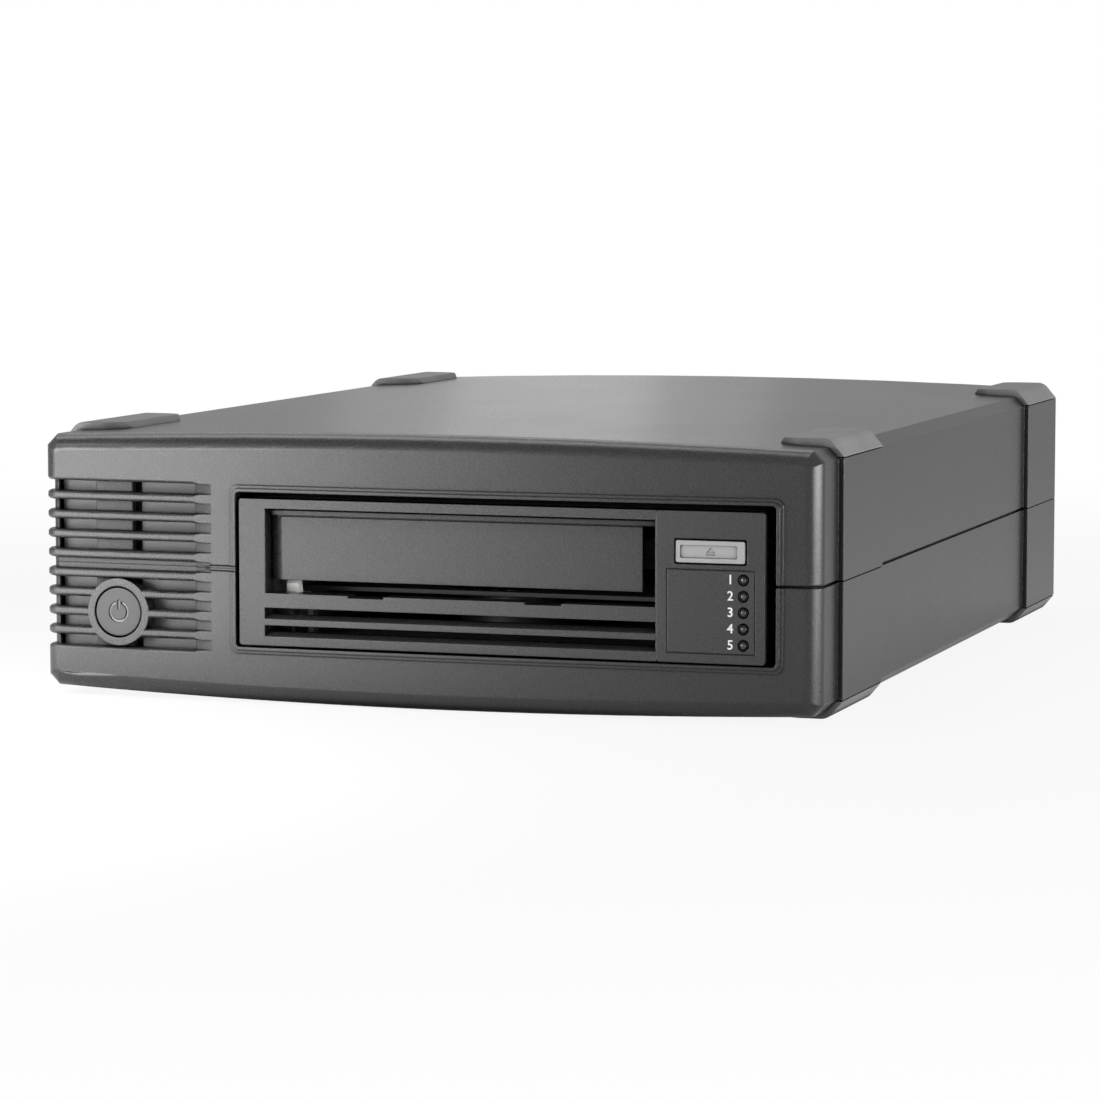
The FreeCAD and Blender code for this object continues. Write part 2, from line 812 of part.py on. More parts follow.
def make_power_button():
    y0 = front_y(button_x) + button_sink
    back = front_y(button_x) + button_seat
    rear = front_y(button_x) + button_back
    face = rod_y(button_r, button_x, button_z, y0, back + 0.4)
    flange = rod_y(button_r + button_flange, button_x, button_z, back + button_rest, rear)
    stem = rod_y(button_stem_r, button_x, button_z, back + 1, back + button_stem)
    ring = rod_y(2.9, button_x, button_z, y0 - 1, y0 + 0.5).cut(
        rod_y(2.35, button_x, button_z, y0 - 1, y0 + 0.5)
    )
    notch = box(button_x - 0.8, button_x + 0.8, y0 - 1, y0 + 1, button_z + 1, button_z + 4)
    bar = box(button_x - 0.28, button_x + 0.28, y0 - 1, y0 + 0.5, button_z + 0.6, button_z + 3.3)
    return fuse([face, flange, stem]).cut([ring.cut(notch), bar])


def make_power_switch():
    """Latching switch on a small bracket that stands on the case floor."""
    y0 = case_front + baffle_set + baffle_step + baffle_t
    h = switch_w / 2
    body = box(button_x - h, button_x + h, y0, y0 + switch_deep, button_z - h, button_z + h)
    bore = rod_y(button_stem_r + 0.3, button_x, button_z, y0 - 1, y0 + switch_deep + 1)
    stand = box(button_x - h, button_x + h, y0, y0 + switch_deep, 0, button_z - h + 1)
    hollow = box(button_x - h + 2, button_x + h - 2, y0 - 1, y0 + switch_deep - 2, 0, button_z - h - 1.5)
    stand = stand.cut(hollow)
    stand = stand.common(case_cavity())
    lugs = []
    for x in (button_x - 3.5, button_x + 2.5):
        lugs.append(box(x, x + 1, y0 + switch_deep, y0 + switch_deep + 4, button_z - 1, button_z + 1))
    return fuse([body, stand] + lugs).cut(bore)


# ------------------------------------------------------------ drive front
def make_bezel():
    solid = round_box(
        bezel_left, bezel_right, bezel_front, bezel_back, bezel_low, bezel_high, 0.8, V(0, 1, 0)
    )
    hollow = box(
        bezel_left + bezel_rim, bezel_right - bezel_rim, bezel_front + bezel_face_t, bezel_back + 1,
        bezel_low + bezel_rim, bezel_high - bezel_rim,
    )
    frame_t = 1.8
    frame = box(
        slot_left - frame_t, slot_right + frame_t, bezel_front + 1, bezel_back,
        slot_low - frame_t, min(slot_high + frame_t, bezel_high),
    )
    solid = solid.cut(hollow).fuse(frame)
    slot = box(slot_left, slot_right, bezel_front - 1, bezel_back + 1, slot_low, slot_high)
    cuts = [slot]
    for x in (slot_left + lip_notch_a, slot_left + lip_notch_b):
        cuts.append(box(
            x, x + lip_notch_w, bezel_front - 1, bezel_back + 1, slot_low - lip_notch_deep, slot_low + 1
        ))
    grille_left = slot_left - 0.2
    grille_right = panel_left - 0.2
    for i in range(2):
        top = slot_low - grille_drop - i * grille_pitch
        low = top - grille_h
        points = [
            (grille_left, bezel_front - 0.5, low),
            (grille_left, bezel_front, low),
            (grille_left, bezel_front + 1.6, low + grille_bevel),
            (grille_left, bezel_back + 1, low + grille_bevel),
            (grille_left, bezel_back + 1, top),
            (grille_left, bezel_front - 0.5, top),
        ]
        cuts.append(prism(points, (grille_right - grille_left, 0, 0)))
    cuts.append(box(
        panel_left, bezel_right + 1, bezel_front - 1, bezel_front + panel_t, bezel_low - 1, bezel_high + 1
    ))
    cuts += control_holes(0.6)
    pin_bore = rod_x(
        door_pin_r + pin_fit, door_axis_y, door_axis_z, slot_left - door_pin_len, slot_right + door_pin_len
    )
    cuts.append(pin_bore)
    return solid.cut(cuts).removeSplitter()


def control_holes(extra):
    """Openings for the eject button and the light pipes, through panel and bezel."""
    holes = [round_box(
        eject_x - eject_w / 2 - eject_gap, eject_x + eject_w / 2 + eject_gap,
        bezel_front - 2, bezel_back + 1,
        eject_z - eject_h / 2 - eject_gap, eject_z + eject_h / 2 + eject_gap, 0.6, V(0, 1, 0),
    )]
    for i in range(lamp_count):
        z = lamp_z - i * lamp_pitch
        holes.append(rod_y(lamp_r + lamp_gap + extra * 0.3, lamp_x, z, bezel_front - 2, bezel_back + 1))
    return holes


def make_control_panel():
    solid = round_box(
        panel_left, bezel_right, bezel_front, bezel_front + panel_t, bezel_low, bezel_high, 0.8, V(0, 1, 0)
    )
    frame = box(
        lamp_x - 21.1, lamp_x + 3.2, bezel_front - 1, bezel_front + 0.2,
        lamp_z - 4.6 * lamp_pitch, lamp_z + 2.6,
    )
    inner = box(
        lamp_x - 20.8, lamp_x + 2.9, bezel_front - 2, bezel_front + 1,
        lamp_z - 4.6 * lamp_pitch + 0.3, lamp_z + 2.3,
    )
    return solid.cut(control_holes(0) + [frame.cut(inner)])


def make_door():
    """Flap with bevelled left edge, hung on two short pins at its top."""
    left = slot_left + door_gap_end
    right = slot_right - door_gap_end
    low = door_low
    top = door_axis_z + door_pin_r
    back = door_face + door_t
    main_right = slot_right - door_right_gap
    points = [
        (left, back, low),
        (left, door_face + 0.9, low),
        (left + door_bevel, door_face, low),
        (main_right, door_face, low),
        (main_right, back, low),
    ]
    panel = prism(points, (0, 0, door_line_z - low))
    strip = box(left, right, door_face, back, door_line_z, top)
    line = box(left - 1, right + 1, door_face - 1, door_face + 0.35, door_line_z - door_line / 2,
               door_line_z + door_line / 2)
    nose = strip.cut(line)
    edges = []
    for edge in nose.Edges:
        b = edge.BoundBox
        if b.XLength > 50 and b.ZMin > top - 1e-3:
            edges.append(edge)
    nose = nose.makeFillet(0.45, edges)
    pins = [
        rod_x(door_pin_r, door_axis_y, door_axis_z, left - door_gap_end - door_pin_len + 0.3, left + 1),
        rod_x(door_pin_r, door_axis_y, door_axis_z, right - 1, right + door_gap_end + door_pin_len - 0.3),
    ]
    return fuse([panel.cut(line), nose] + pins)


def make_lever():
    """Feeler that a cartridge presses down as it enters."""
    x0, x1 = lever_x - lever_w / 2, lever_x + lever_w / 2
    front = lever_y - lever_reach
    arm = box(x0, x1, front, lever_y + 0.5, lever_z - 1.2, lever_z + 1.2)
    tab = prism([
        (x0, front, lever_z - 1.2), (x0, front, lever_top - 1), (x0, front + 1, lever_top),
        (x0, front + 2.2, lever_top), (x0, front + 4, lever_z), (x0, front + 4, lever_z - 1.2),
    ], (lever_w, 0, 0))
    eye = rod_x(lever_pin_r + 1.3, lever_y, lever_z, x0, x1)
    return fuse([arm, tab, eye]).cut(rod_x(lever_pin_r + pin_fit, lever_y, lever_z, x0 - 1, x1 + 1))


def make_eject_button():
    x0 = eject_x - eject_w / 2
    x1 = eject_x + eject_w / 2
    z0 = eject_z - eject_h / 2
    z1 = eject_z + eject_h / 2
    head = round_box(x0, x1, bezel_front - 0.2, bezel_front + 4.2, z0, z1, 0.5, V(0, 1, 0))
    dish = round_box(
        x0 + 1.1, x1 - 2.1, bezel_front - 1, bezel_front - 0.2 + eject_dish, z0 + 1.2, z1 - 1.2, 0.5,
        V(0, 1, 0),
    )
    stem = rod_y(eject_stem_r, eject_x, eject_z, bezel_front + 4, front_board_y + 3.4)
    y = bezel_front - 0.2 + eject_dish
    mark = prism([
        (eject_x - 1.2, y - 0.05, eject_z - 0.2),
        (eject_x + 1.2, y - 0.05, eject_z - 0.2),
        (eject_x, y - 0.05, eject_z + 1.1),
    ], (0, 0.25, 0))
    line = box(eject_x - 1.2, eject_x + 1.2, y - 0.05, y + 0.2, eject_z - 0.95, eject_z - 0.5)
    return fuse([head, stem]).cut([dish, mark, line])


def make_lamps():
    pipes = []
    for i in range(lamp_count):
        z = lamp_z - i * lamp_pitch
        pipes.append(rod_y(lamp_r, lamp_x, z, bezel_front - 0.15, front_board_y))
    return pipes


def make_front_board():
    x0 = panel_left + 2.5
    x1 = chassis_right - chassis_wall - 0.4
    y = front_board_y
    board = box(x0, x1, y, y + board_t, chassis_floor + 0.4, cover_low - 1.2)
    key = box(eject_x - 4, eject_x + 4, y + board_t, y + board_t + 4, eject_z - 3.5, eject_z + 3.5)
    bore = rod_y(eject_stem_r + 0.35, eject_x, eject_z, y - 1, y + 12)
    foot = box(x0 + 2, x1 - 2, y + board_t, y + board_t + 3, chassis_floor, chassis_floor + 4)
    plug = box(x0 + 3, x0 + 9, y + board_t, y + board_t + 5, chassis_floor + 8, chassis_floor + 20)
    return fuse([board, key, foot, plug]).cut(bore)


# -------------------------------------------------------------- drive body
def make_chassis():
    x0, x1 = chassis_left, chassis_right
    solid = box(x0, x1, chassis_front, chassis_back, chassis_low, cover_low)
    inside = box(
        x0 + chassis_wall, x1 - chassis_wall, chassis_front - 1, chassis_back - chassis_wall,
        chassis_floor, cover_low + 1,
    )
    solid = solid.cut(inside)
    # tray guides, one on the left wall and one free-standing
    y0 = tray_front - 2
    y1 = loaded_back + 2
    groove_a = runner_z - 0.35
    groove_b = runner_z + runner_h + 0.35
    left_face = tray_left - guide_gap
    left = box(x0 + 1, left_face, y0, y1, guide_low, guide_low + guide_h)
    left = left.cut(box(left_face - runner_w, left_face + 1, y0 - 1, y1 + 1, groove_a, groove_b))
    right = box(guide_face, guide_face + guide_wall_t, y0, y1, chassis_floor - 0.5, guide_low + guide_h)
    right = right.cut(box(guide_face - 1, guide_face + runner_w, y0 - 1, y1 + 1, groove_a, groove_b))
    adds = [left, right]
    # posts under the circuit board and base of the roller posts
    for x in (x0 + 5.5, x1 - 5.5):
        for y in (loaded_back + 8, chassis_back - 8):
            adds.append(rod(2.6, x, y, chassis_floor - 0.5, board_z))
    adds.append(rod(3.4, arm_x, arm_y, chassis_floor - 0.5, arm_z - 0.4))
    adds.append(rod(arm_pin_r, arm_x, arm_y, arm_z - 1, arm_z + arm_t + 0.6))
    for x, y in roller_spots:
        adds.append(rod(3.2, x, y, chassis_floor - 0.5, reel_low + 0.6))
        adds.append(rod(roller_pin_r, x, y, reel_low, reel_top + 0.4))
    adds.append(rod(2.2, gear_x, gear_y, chassis_floor - 0.5, chassis_floor + 1))
    for side in (-1, 1):
        x = lever_x + side * (lever_w / 2 + 1.1)
        adds.append(box(x - 0.7, x + 0.7, lever_y - 2, lever_y + 2, chassis_floor - 0.5, lever_z + 1.8))
    adds.append(rod_x(lever_pin_r, lever_y, lever_z, lever_x - lever_w / 2 - 1, lever_x + lever_w / 2 + 1))
    solid = solid.fuse(adds)
    # openings: rear connector, cooling slots in the floor, side screw holes
    half = connector_w / 2 + 0.4
    z = chassis_low + connector_up - 0.4
    cuts = [box(
        connector_x - half, connector_x + half, chassis_back - 5, chassis_back + 1,
        z, z + connector_h + 0.8,
    )]
    for i in range(6):
        x = x0 + 16.5 + i * 8
        cuts.append(box(x, x + 4, loaded_back + 1, loaded_back + 5, chassis_low - 1, chassis_floor + 0.01))
    for y in side_screws:
        cuts.append(rod_x(screw_r + hole_play, y, side_screw_z, x0 - 1, x0 + chassis_wall + 0.01))
        cuts.append(rod_x(screw_r + hole_play, y, side_screw_z, x1 - chassis_wall - 0.01, x1 + 1))
    return solid.cut(cuts).removeSplitter()


def make_cover():
    """Lid with turned-down edges and a raised bead over the reel."""
    x0, x1 = chassis_left, chassis_right
    lid = box(x0 + 0.4, x1 - 0.4, chassis_front + 0.4, chassis_back - 0.4, cover_low, cover_low + cover_t)
    inner = []
    for a in (x0 + chassis_wall + 0.3, x1 - chassis_wall - 1.3):
        inner.append(box(a, a + 1, chassis_front + 12, chassis_back - 12, cover_low - 3, cover_low + 0.2))
    slots = []
    for i in range(8):
        x = x0 + 12.5 + i * 6
        slots.append(box(x, x + 2.5, arm_y - 32, arm_y - 2, cover_low - 1, cover_low + 3))
    return fuse([lid] + inner).cut(slots)


def make_tray():
    x0, x1 = tray_left, tray_right
    y0, y1 = tray_front, tray_back
    floor = box(x0, x1, y0, y1, tray_low, tray_low + tray_t)
    r = chuck_r + chuck_play
    hole = rod(r, tray_x, supply_y, tray_low - 1, tray_low + 3)
    far = rod(r, tray_x, supply_y - tray_travel, tray_low - 1, tray_low + 3)
    span = box(tray_x - r, tray_x + r, supply_y - tray_travel, supply_y, tray_low - 1, tray_low + 3)
    sides = [
        box(x0, x0 + tray_t, y0, y1, tray_low, tray_top),
        box(x1 - tray_t, x1, y0, y1, tray_low, tray_top),
        box(x0, x1, y1 - tray_t, y1, tray_low, tray_top - 6),
    ]
    runners = []
    for ya in (y0 + 4, y1 - 24):
        runners.append(box(x0 - runner_w, x0 + 0.5, ya, ya + 20, runner_z, runner_z + runner_h))
        runners.append(box(x1 - 0.5, x1 + runner_w, ya, ya + 20, runner_z, runner_z + runner_h))
    # rack carried over the right guide
    ra = gear_y - tray_travel - 8
    rb = gear_y + 8
    bridge = box(x1 - tray_t, rack_line - 2, ra, rb, tray_top - 1, tray_top)
    bar = box(rack_line - rack_bar - 0.8, rack_line - 1.2, ra, rb, tray_top - 1, gear_low + gear_w)
    return fuse([floor] + sides + runners + [bridge, bar] + rack_teeth(ra, rb)).cut([hole, far, span])


def rack_teeth(ra, rb):
    m = gear_module
    pitch = math.pi * m
    slope = math.tan(math.radians(20))
    half = pitch / 4 - backlash / 4
    teeth = []
    j = -20
    while j < 20:
        y = gear_y + (j + 0.5) * pitch
        j += 1
        if y - half - 0.5 < ra or y + half + 0.5 > rb:
            continue
        root = -0.8 * m - 0.5
        tip = 0.8 * m
        points = [
            (rack_line + root, y - half + root * slope, tray_top),
            (rack_line + tip, y - half + tip * slope, tray_top),
            (rack_line + tip, y + half - tip * slope, tray_top),
            (rack_line + root, y + half - root * slope, tray_top),
        ]
        teeth.append(prism(points, (0, 0, gear_low + gear_w - tray_top)))
    return teeth


def involute(angle):
    return math.tan(angle) - angle


def gear_form(x, y, z0, z1):
    """Spur gear with stub involute teeth; one tooth points along -X."""
    m = gear_module
    base = gear_r * math.cos(math.radians(20))
    tip = gear_r + 0.8 * m
    root = gear_r - 0.8 * m - 0.4
    half = math.pi / (2 * gear_teeth) - backlash / (4 * gear_r)
    start = half + involute(math.radians(20))
    flank = []
    for r in (base, (base + gear_r) / 2, gear_r, (gear_r + tip) / 2, tip):
        a = math.acos(min(1.0, base / r))
        flank.append((r, start - involute(a)))
    points = []
    for i in range(gear_teeth):
        mid = math.pi + i * 2 * math.pi / gear_teeth
        points.append((root, mid - flank[0][1] - 0.02))
        points += [(r, mid - a) for r, a in flank]
        points += [(r, mid + a) for r, a in reversed(flank)]
        points.append((root, mid + flank[0][1] + 0.02))
    ring = [(x + r * math.cos(a), y + r * math.sin(a), z0) for r, a in points]
    return prism(ring, (0, 0, z1 - z0))


def make_loader_gear():
    shaft = rod(gear_bore, gear_x, gear_y, chassis_floor + loader_can_h - 3, gear_low + 0.5)
    return fuse([gear_form(gear_x, gear_y, gear_low, gear_low + gear_w), shaft])


def make_loader_motor():
    top = chassis_floor + 1 + loader_can_h
    can = rod(loader_can_r, gear_x, gear_y, chassis_floor + 1, top)
    bore = rod(gear_bore + shaft_fit, gear_x, gear_y, chassis_floor + loader_can_h - 6, top + 1)
    ears = box(gear_x - 3, gear_x + 3, gear_y - 10.5, gear_y + 10.5, chassis_floor, chassis_floor + 2)
    return fuse([can, ears]).cut([bore, rod(2.2, gear_x, gear_y, chassis_floor - 1, chassis_floor + 1)])


# ---------------------------------------------------------- tape transport
def make_reel_motors():
    motors = []
    for x, y, r in ((tray_x, supply_y, chuck_r + 2), (reel_x, reel_y, motor_r)):
        base = rod(r, x, y, chassis_floor, chassis_floor + motor_h)
        neck = rod(shaft_r + 2.2, x, y, chassis_floor + motor_h - 0.5, chassis_floor + motor_h + 1)
        bore = rod(shaft_r + shaft_fit, x, y, chassis_floor + 1, chassis_floor + motor_h + 2)
        motors.append(fuse([base, neck]).cut(bore))
    return motors


def make_chuck():
    """Reel chuck: a ring of teeth facing up round a magnet recess."""
    low = chassis_floor + motor_h + 1.3
    plate = rod(chuck_r, tray_x, supply_y, low, low + 1.6)
    shaft = rod(shaft_r, tray_x, supply_y, chassis_floor + 1.4, low + 0.2)
    ring_top = tray_low - 0.4
    tooth_h = chuck_tooth_h
    band = rod(chuck_r, tray_x, supply_y, low + 1.4, ring_top - tooth_h)
    band = band.cut(rod(chuck_r - 4, tray_x, supply_y, low, ring_top))
    teeth = []
    for i in range(chuck_teeth):
        a = 2 * math.pi * i / chuck_teeth
        w = 0.28 * 2 * math.pi / chuck_teeth
        points = []
        for r, b in ((chuck_r - 3.4, -w), (chuck_r - 0.6, -w), (chuck_r - 0.6, w), (chuck_r - 3.4, w)):
            points.append((
                tray_x + r * math.cos(a + b), supply_y + r * math.sin(a + b), ring_top - tooth_h - 0.3
            ))
        teeth.append(prism(points, (0, 0, tooth_h + 0.3)))
    return fuse([plate, shaft, band] + teeth)


def make_reel():
    low = reel_low
    mid = low + reel_flange_t
    top = mid + tape_w
    lower = rod(reel_r, reel_x, reel_y, low, mid)
    upper = rod(reel_r, reel_x, reel_y, top, top + reel_flange_t)
    hub = rod(reel_hub_r, reel_x, reel_y, low, top + reel_flange_t)
    well = rod(reel_hub_r - 3, reel_x, reel_y, mid + 2, top + 5)
    shaft = rod(shaft_r, reel_x, reel_y, chassis_floor + 1.4, mid + 6)
    notch = box(
        reel_x - reel_hub_r - 1, reel_x - reel_hub_r + 2.2, reel_y - 2.5, reel_y + 2.5, mid, top + 5
    )
    path = box(reel_x - reel_r - 1, reel_x - reel_hub_r, reel_y - 2.5, reel_y + 2.5, top - 0.1, top + 3)
    return fuse([lower, upper, hub]).cut([well, notch, path]).fuse(shaft).removeSplitter()


def make_roller(x, y):
    z0 = reel_low + 1.0
    z1 = reel_top
    core = rod(roller_r, x, y, z0 + 0.7, z1)
    lip = rod(roller_r + roller_lip, x, y, z0, z0 + 0.8)
    return fuse([core, lip]).cut(rod(roller_pin_r + pin_fit, x, y, z0 - 1, z1 + 1))


def make_head():
    """Fixed base with two guide pins, and the carriage that rides on them."""
    base_top = reel_low
    base = box(
        head_x - 4, head_x + 8, head_y - head_l / 2 - 1, head_y + head_l / 2 + 1, chassis_floor, base_top - 1
    )
    coil = box(head_x - 2, head_x + 4, head_y - 3, head_y + 3, base_top - 1.5, base_top + 1)
    pins = []
    bores = []
    for side in (-1, 1):
        y = head_y + side * head_pin_pitch / 2
        pins.append(rod(head_pin_r, head_x, y, base_top - 2, arm_z - 0.6))
        bores.append(rod(head_pin_r + pin_fit, head_x, y, base_top, arm_z + 5))
    z0 = base_top + 1 + head_travel + 0.5
    z1 = z0 + head_h
    x1 = head_x - 3.5 + head_w
    block = box(head_x - 3.5, x1 - 5, head_y - head_l / 2, head_y + head_l / 2, z0, z1)
    nose = prism([
        (x1 - 5.2, head_y - 6, z0 + 0.5), (x1 - 1, head_y - 6, z0 + 0.5), (x1, head_y - 4, z0 + 0.5),
        (x1, head_y + 4, z0 + 0.5), (x1 - 1, head_y + 6, z0 + 0.5), (x1 - 5.2, head_y + 6, z0 + 0.5),
    ], (0, 0, head_h - 1))
    return fuse([base, coil] + pins), fuse([block, nose]).cut(bores)


def make_arm():
    """Threading arm: carries the leader pin from the cartridge to the reel."""
    a = math.radians(arm_rest)
    tip_x = arm_x + arm_len * math.cos(a)
    tip_y = arm_y + arm_len * math.sin(a)
    nx = -math.sin(a) * arm_w / 2
    ny = math.cos(a) * arm_w / 2
    bar = prism([
        (arm_x + nx, arm_y + ny, arm_z), (arm_x - nx, arm_y - ny, arm_z),
        (tip_x - nx * 0.6, tip_y - ny * 0.6, arm_z), (tip_x + nx * 0.6, tip_y + ny * 0.6, arm_z),
    ], (0, 0, arm_t))
    eye = rod(arm_w / 2 + 1, arm_x, arm_y, arm_z, arm_z + arm_t)
    grip = rod(3.4, tip_x, tip_y, arm_z, arm_z + arm_t + 1.4)
    jaw = rod(1.4, tip_x, tip_y, arm_z - 1, arm_z + 5)
    bore = rod(arm_pin_r + pin_fit, arm_x, arm_y, arm_z - 1, arm_z + 5)
    return fuse([bar, eye, grip]).cut([jaw, bore])


def make_main_board():
    x0, x1 = chassis_left + 3.0, chassis_right - 3.0
    y0, y1 = loaded_back + 4.5, chassis_back - 4
    board = box(x0, x1, y0, y1, board_z, board_z + board_t)
    top = board_z + board_t
    chips = []
    for dx, dy, w, h in ((-15, 8, 22, 22), (23, -14, 14, 14), (51, 20, 17, 17), (75, -18, 10, 14)):
        x, y = arm_x + dx, arm_y + dy
        chips.append(box(x - w / 2, x + w / 2, y - h / 2, y + h / 2, top, top + 1.4))
    for i in range(5):
        x = arm_x + 9 + i * 7
        chips.append(box(x, x + 5, y1 - 16, y1 - 8, top, top + 1.1))
    reach = connector_w / 2 - 3.6
    plug = box(
        connector_x - reach, connector_x + reach, y1 - 3, y1, chassis_low + connector_up + 0.6, board_z
    )
    return board.fuse(plug).removeSplitter(), chips


def make_drive_connector():
    half = connector_w / 2
    low = chassis_low + connector_up
    high = low + connector_h
    y = chassis_back
    shell = box(connector_x - half, connector_x + half, y - 2, y + 5, low, high)
    hollow = box(connector_x - half + 3.6, connector_x + half - 3.6, y + 1, y + 6, low + 1.2, high - 1.2)
    mid = (low + high) / 2
    tab = box(connector_x - half + 7.6, connector_x + half - 7.6, y, y + 6, mid - 0.9, mid + 0.9)
    return fuse([shell.cut(hollow), tab])


# ----------------------------------------------------------- inside the case
def make_cradle():
    x0 = chassis_left - cradle_t
    x1 = chassis_right + cradle_t
    y0 = chassis_front + 3
    y1 = chassis_back + 2
    floor = box(x0, x1, y0, y1, cradle_low, chassis_low)
    left = box(x0, chassis_left, y0, y1, cradle_low, chassis_low + cradle_side)
    right = box(chassis_right, x1, y0, y1, cradle_low, chassis_low + cradle_side)
    cuts = []
    for x, y in cradle_spots:
        cuts.append(rod(screw_r + hole_play, x, y, cradle_low - 1, chassis_low + 1))
    for y in side_screws:
        cuts.append(rod_x(screw_r + hole_play, y, side_screw_z, x0 - 1, x1 + 1))
    cuts.append(box(x0 + 32, x1 - 32, y0 + 54, y1 - 70, cradle_low - 1, chassis_low + 0.01))
    return fuse([floor, left, right]).cut(cuts)


def make_psu():
    x0, x1 = psu_left, psu_right
    y = psu_front
    top = psu_z + board_t
    board = box(x0, x1, y, psu_back, psu_z, top)
    holes = [rod(screw_r + hole_play, px, py, psu_z - 1, top + 1) for px, py in psu_posts]
    board = board.cut(holes)
    core = box(x0 + 8, x0 + 34, y + 64, y + 88, top, top + 21)
    coil = box(x0 + 12, x0 + 30, y + 60, y + 92, top + 4, top + 17)
    transformer = fuse([core, coil])
    caps = [
        rod(9, x0 + 26, y + 106, top, top + 28),
        rod(5, x0 + 7, y + 34, top, top + 18),
        rod(5, x0 + 18, y + 34, top, top + 18),
    ]
    sinks = []
    for sx, sy in ((x1 - 6, y + 42), (x0 + 5, y + 106)):
        blade = box(sx - 1, sx + 1, sy - 16, sy + 16, top, top + 30)
        fins = []
        for i in range(4):
            fy = sy - 16 + 10 * i
            fins.append(box(sx - 4, sx + 4, fy, fy + 2, top + 8, top + 30))
        sinks.append(fuse([blade] + fins))
    screws = [put(screw(board_screw), px, py, top, V(1, 0, 0), 180) for px, py in psu_posts]
    return board, transformer, caps, sinks, screws


def make_link_board():
    x0, x1 = link_right - link_w, link_right
    top = link_z + board_t
    board = box(x0, x1, link_front, link_back, link_z, top)
    holes = [rod(screw_r + hole_play, x, y, link_z - 1, top + 1) for x, y in link_posts]
    plug = box(connector_x - 16, connector_x + 16, link_front + 1, link_front + 7, top, top + 7)
    chip = box(link_x - 6, link_x + 6, link_front + 12, link_front + 22, top, top + 1.4)
    screws = [put(screw(board_screw), x, y, top, V(1, 0, 0), 180) for x, y in link_posts]
    return fuse([board.cut(holes), plug, chip]), screws


def port_boxes():
    spots = []
    for side in (-1, 1):
        x = link_x + side * port_pitch / 2
        z = link_z + board_t
        spots.append((x - port_w / 2, x + port_w / 2, z, z + port_h))
    return spots


def make_ports():
    """Shielded receptacles, each an open cage with a contact blade inside."""
    ports = []
    y1 = rear_y + port_proud
    y0 = y1 - port_deep
    for x0, x1, z0, z1 in port_boxes():
        cage = box(x0, x1, y0, y1, z0, z1)
        w = port_wall
        hollow = box(x0 + w, x1 - w, y0 + 5, y1 + 1, z0 + w, z1 - w)
        blade = box(x0 + 5, x1 - 5, y0 + 4, y1 - 4, z0 + 2.2, z0 + 3.2)
        ports.append(fuse([cage.cut(hollow), blade]))
    return ports


def make_inlet():
    y = rear_y
    flange = round_box(
        inlet_x - inlet_flange_w / 2, inlet_x + inlet_flange_w / 2, y, y + inlet_flange_t,
        inlet_z - inlet_flange_h / 2, inlet_z + inlet_flange_h / 2, 3.0, V(0, 1, 0),
    )
    w, h = inlet_w / 2, inlet_h / 2
    body = box(inlet_x - w, inlet_x + w, y + 1 - inlet_deep, y + 1, inlet_z - h, inlet_z + h)
    iw, ih = w - inlet_wall, h - inlet_wall
    c = 4.5
    outline = [
        (inlet_x - iw, inlet_z - ih), (inlet_x + iw, inlet_z - ih), (inlet_x + iw, inlet_z + ih - c),
        (inlet_x + iw - c, inlet_z + ih), (inlet_x - iw + c, inlet_z + ih), (inlet_x - iw, inlet_z + ih - c),
    ]
    deep = inlet_deep - 3
    well = prism([(x, y + 3 - deep, z) for x, z in outline], (0, deep + 1, 0))
    pins = []
    bores = []
    for dx, dz in ((-inlet_pin_pitch, -2.0), (inlet_pin_pitch, -2.0), (0, 2.0)):
        x, z = inlet_x + dx, inlet_z + dz
        start = y + 1 - inlet_deep - 5
        pins.append(box(x - 1, x + 1, start, y - 3, z - 2, z + 2))
        bores.append(box(x - 1, x + 1, start - 1, y + 4 - deep, z - 2, z + 2))
    screws = []
    for side in (-1, 1):
        x = inlet_x + side * (inlet_flange_w / 2 - inlet_screw_in)
        bores.append(rod_y(screw_r + hole_play, x, inlet_z, y - 5, y + 5))
        screws.append(put(screw(6.0), x, y + inlet_flange_t, inlet_z, V(1, 0, 0), 90))
    return fuse([flange, body]).cut([well] + bores), pins, screws


def make_rear_panel():
    panel = case_section(wall - rear_groove, rear_y - rear_t, rear_y)
    w, h = inlet_w / 2 + 0.3, inlet_h / 2 + 0.3
    cuts = [box(inlet_x - w, inlet_x + w, rear_y - 5, rear_y + 5, inlet_z - h, inlet_z + h)]
    for side in (-1, 1):
        x = inlet_x + side * (inlet_flange_w / 2 - inlet_screw_in)
        cuts.append(rod_y(screw_r + hole_play, x, inlet_z, rear_y - 5, rear_y + 5))
    for x0, x1, z0, z1 in port_boxes():
        cuts.append(box(x0 - 0.2, x1 + 0.2, rear_y - 5, rear_y + 5, z0 - 0.2, z1 + 0.2))
    bar = fan_bar
    gap = fan_slit
    reach = fan_size / 2 - fan_wall - 0.6
    count = int((2 * reach) / (bar + gap))
    for i in range(count):
        x = fan_x - (count - 1) * (bar + gap) / 2 + i * (bar + gap)
        dx = abs(x - fan_x) + bar / 2
        if dx >= reach - 2:
            continue
        tall = math.sqrt(reach * reach - dx * dx)
        cuts.append(box(x - bar / 2, x + bar / 2, rear_y - 5, rear_y + 5, fan_z + 1.2, fan_z + tall))
        cuts.append(box(x - bar / 2, x + bar / 2, rear_y - 5, rear_y + 5, fan_z - tall, fan_z - 1.2))
    for sx in (-1, 1):
        for sz in (-1, 1):
            cuts.append(rod_y(
                screw_r + hole_play, fan_x + sx * fan_pitch / 2, fan_z + sz * fan_pitch / 2,
                rear_y - 5, rear_y + 5,
            ))
    return panel.cut(cuts)


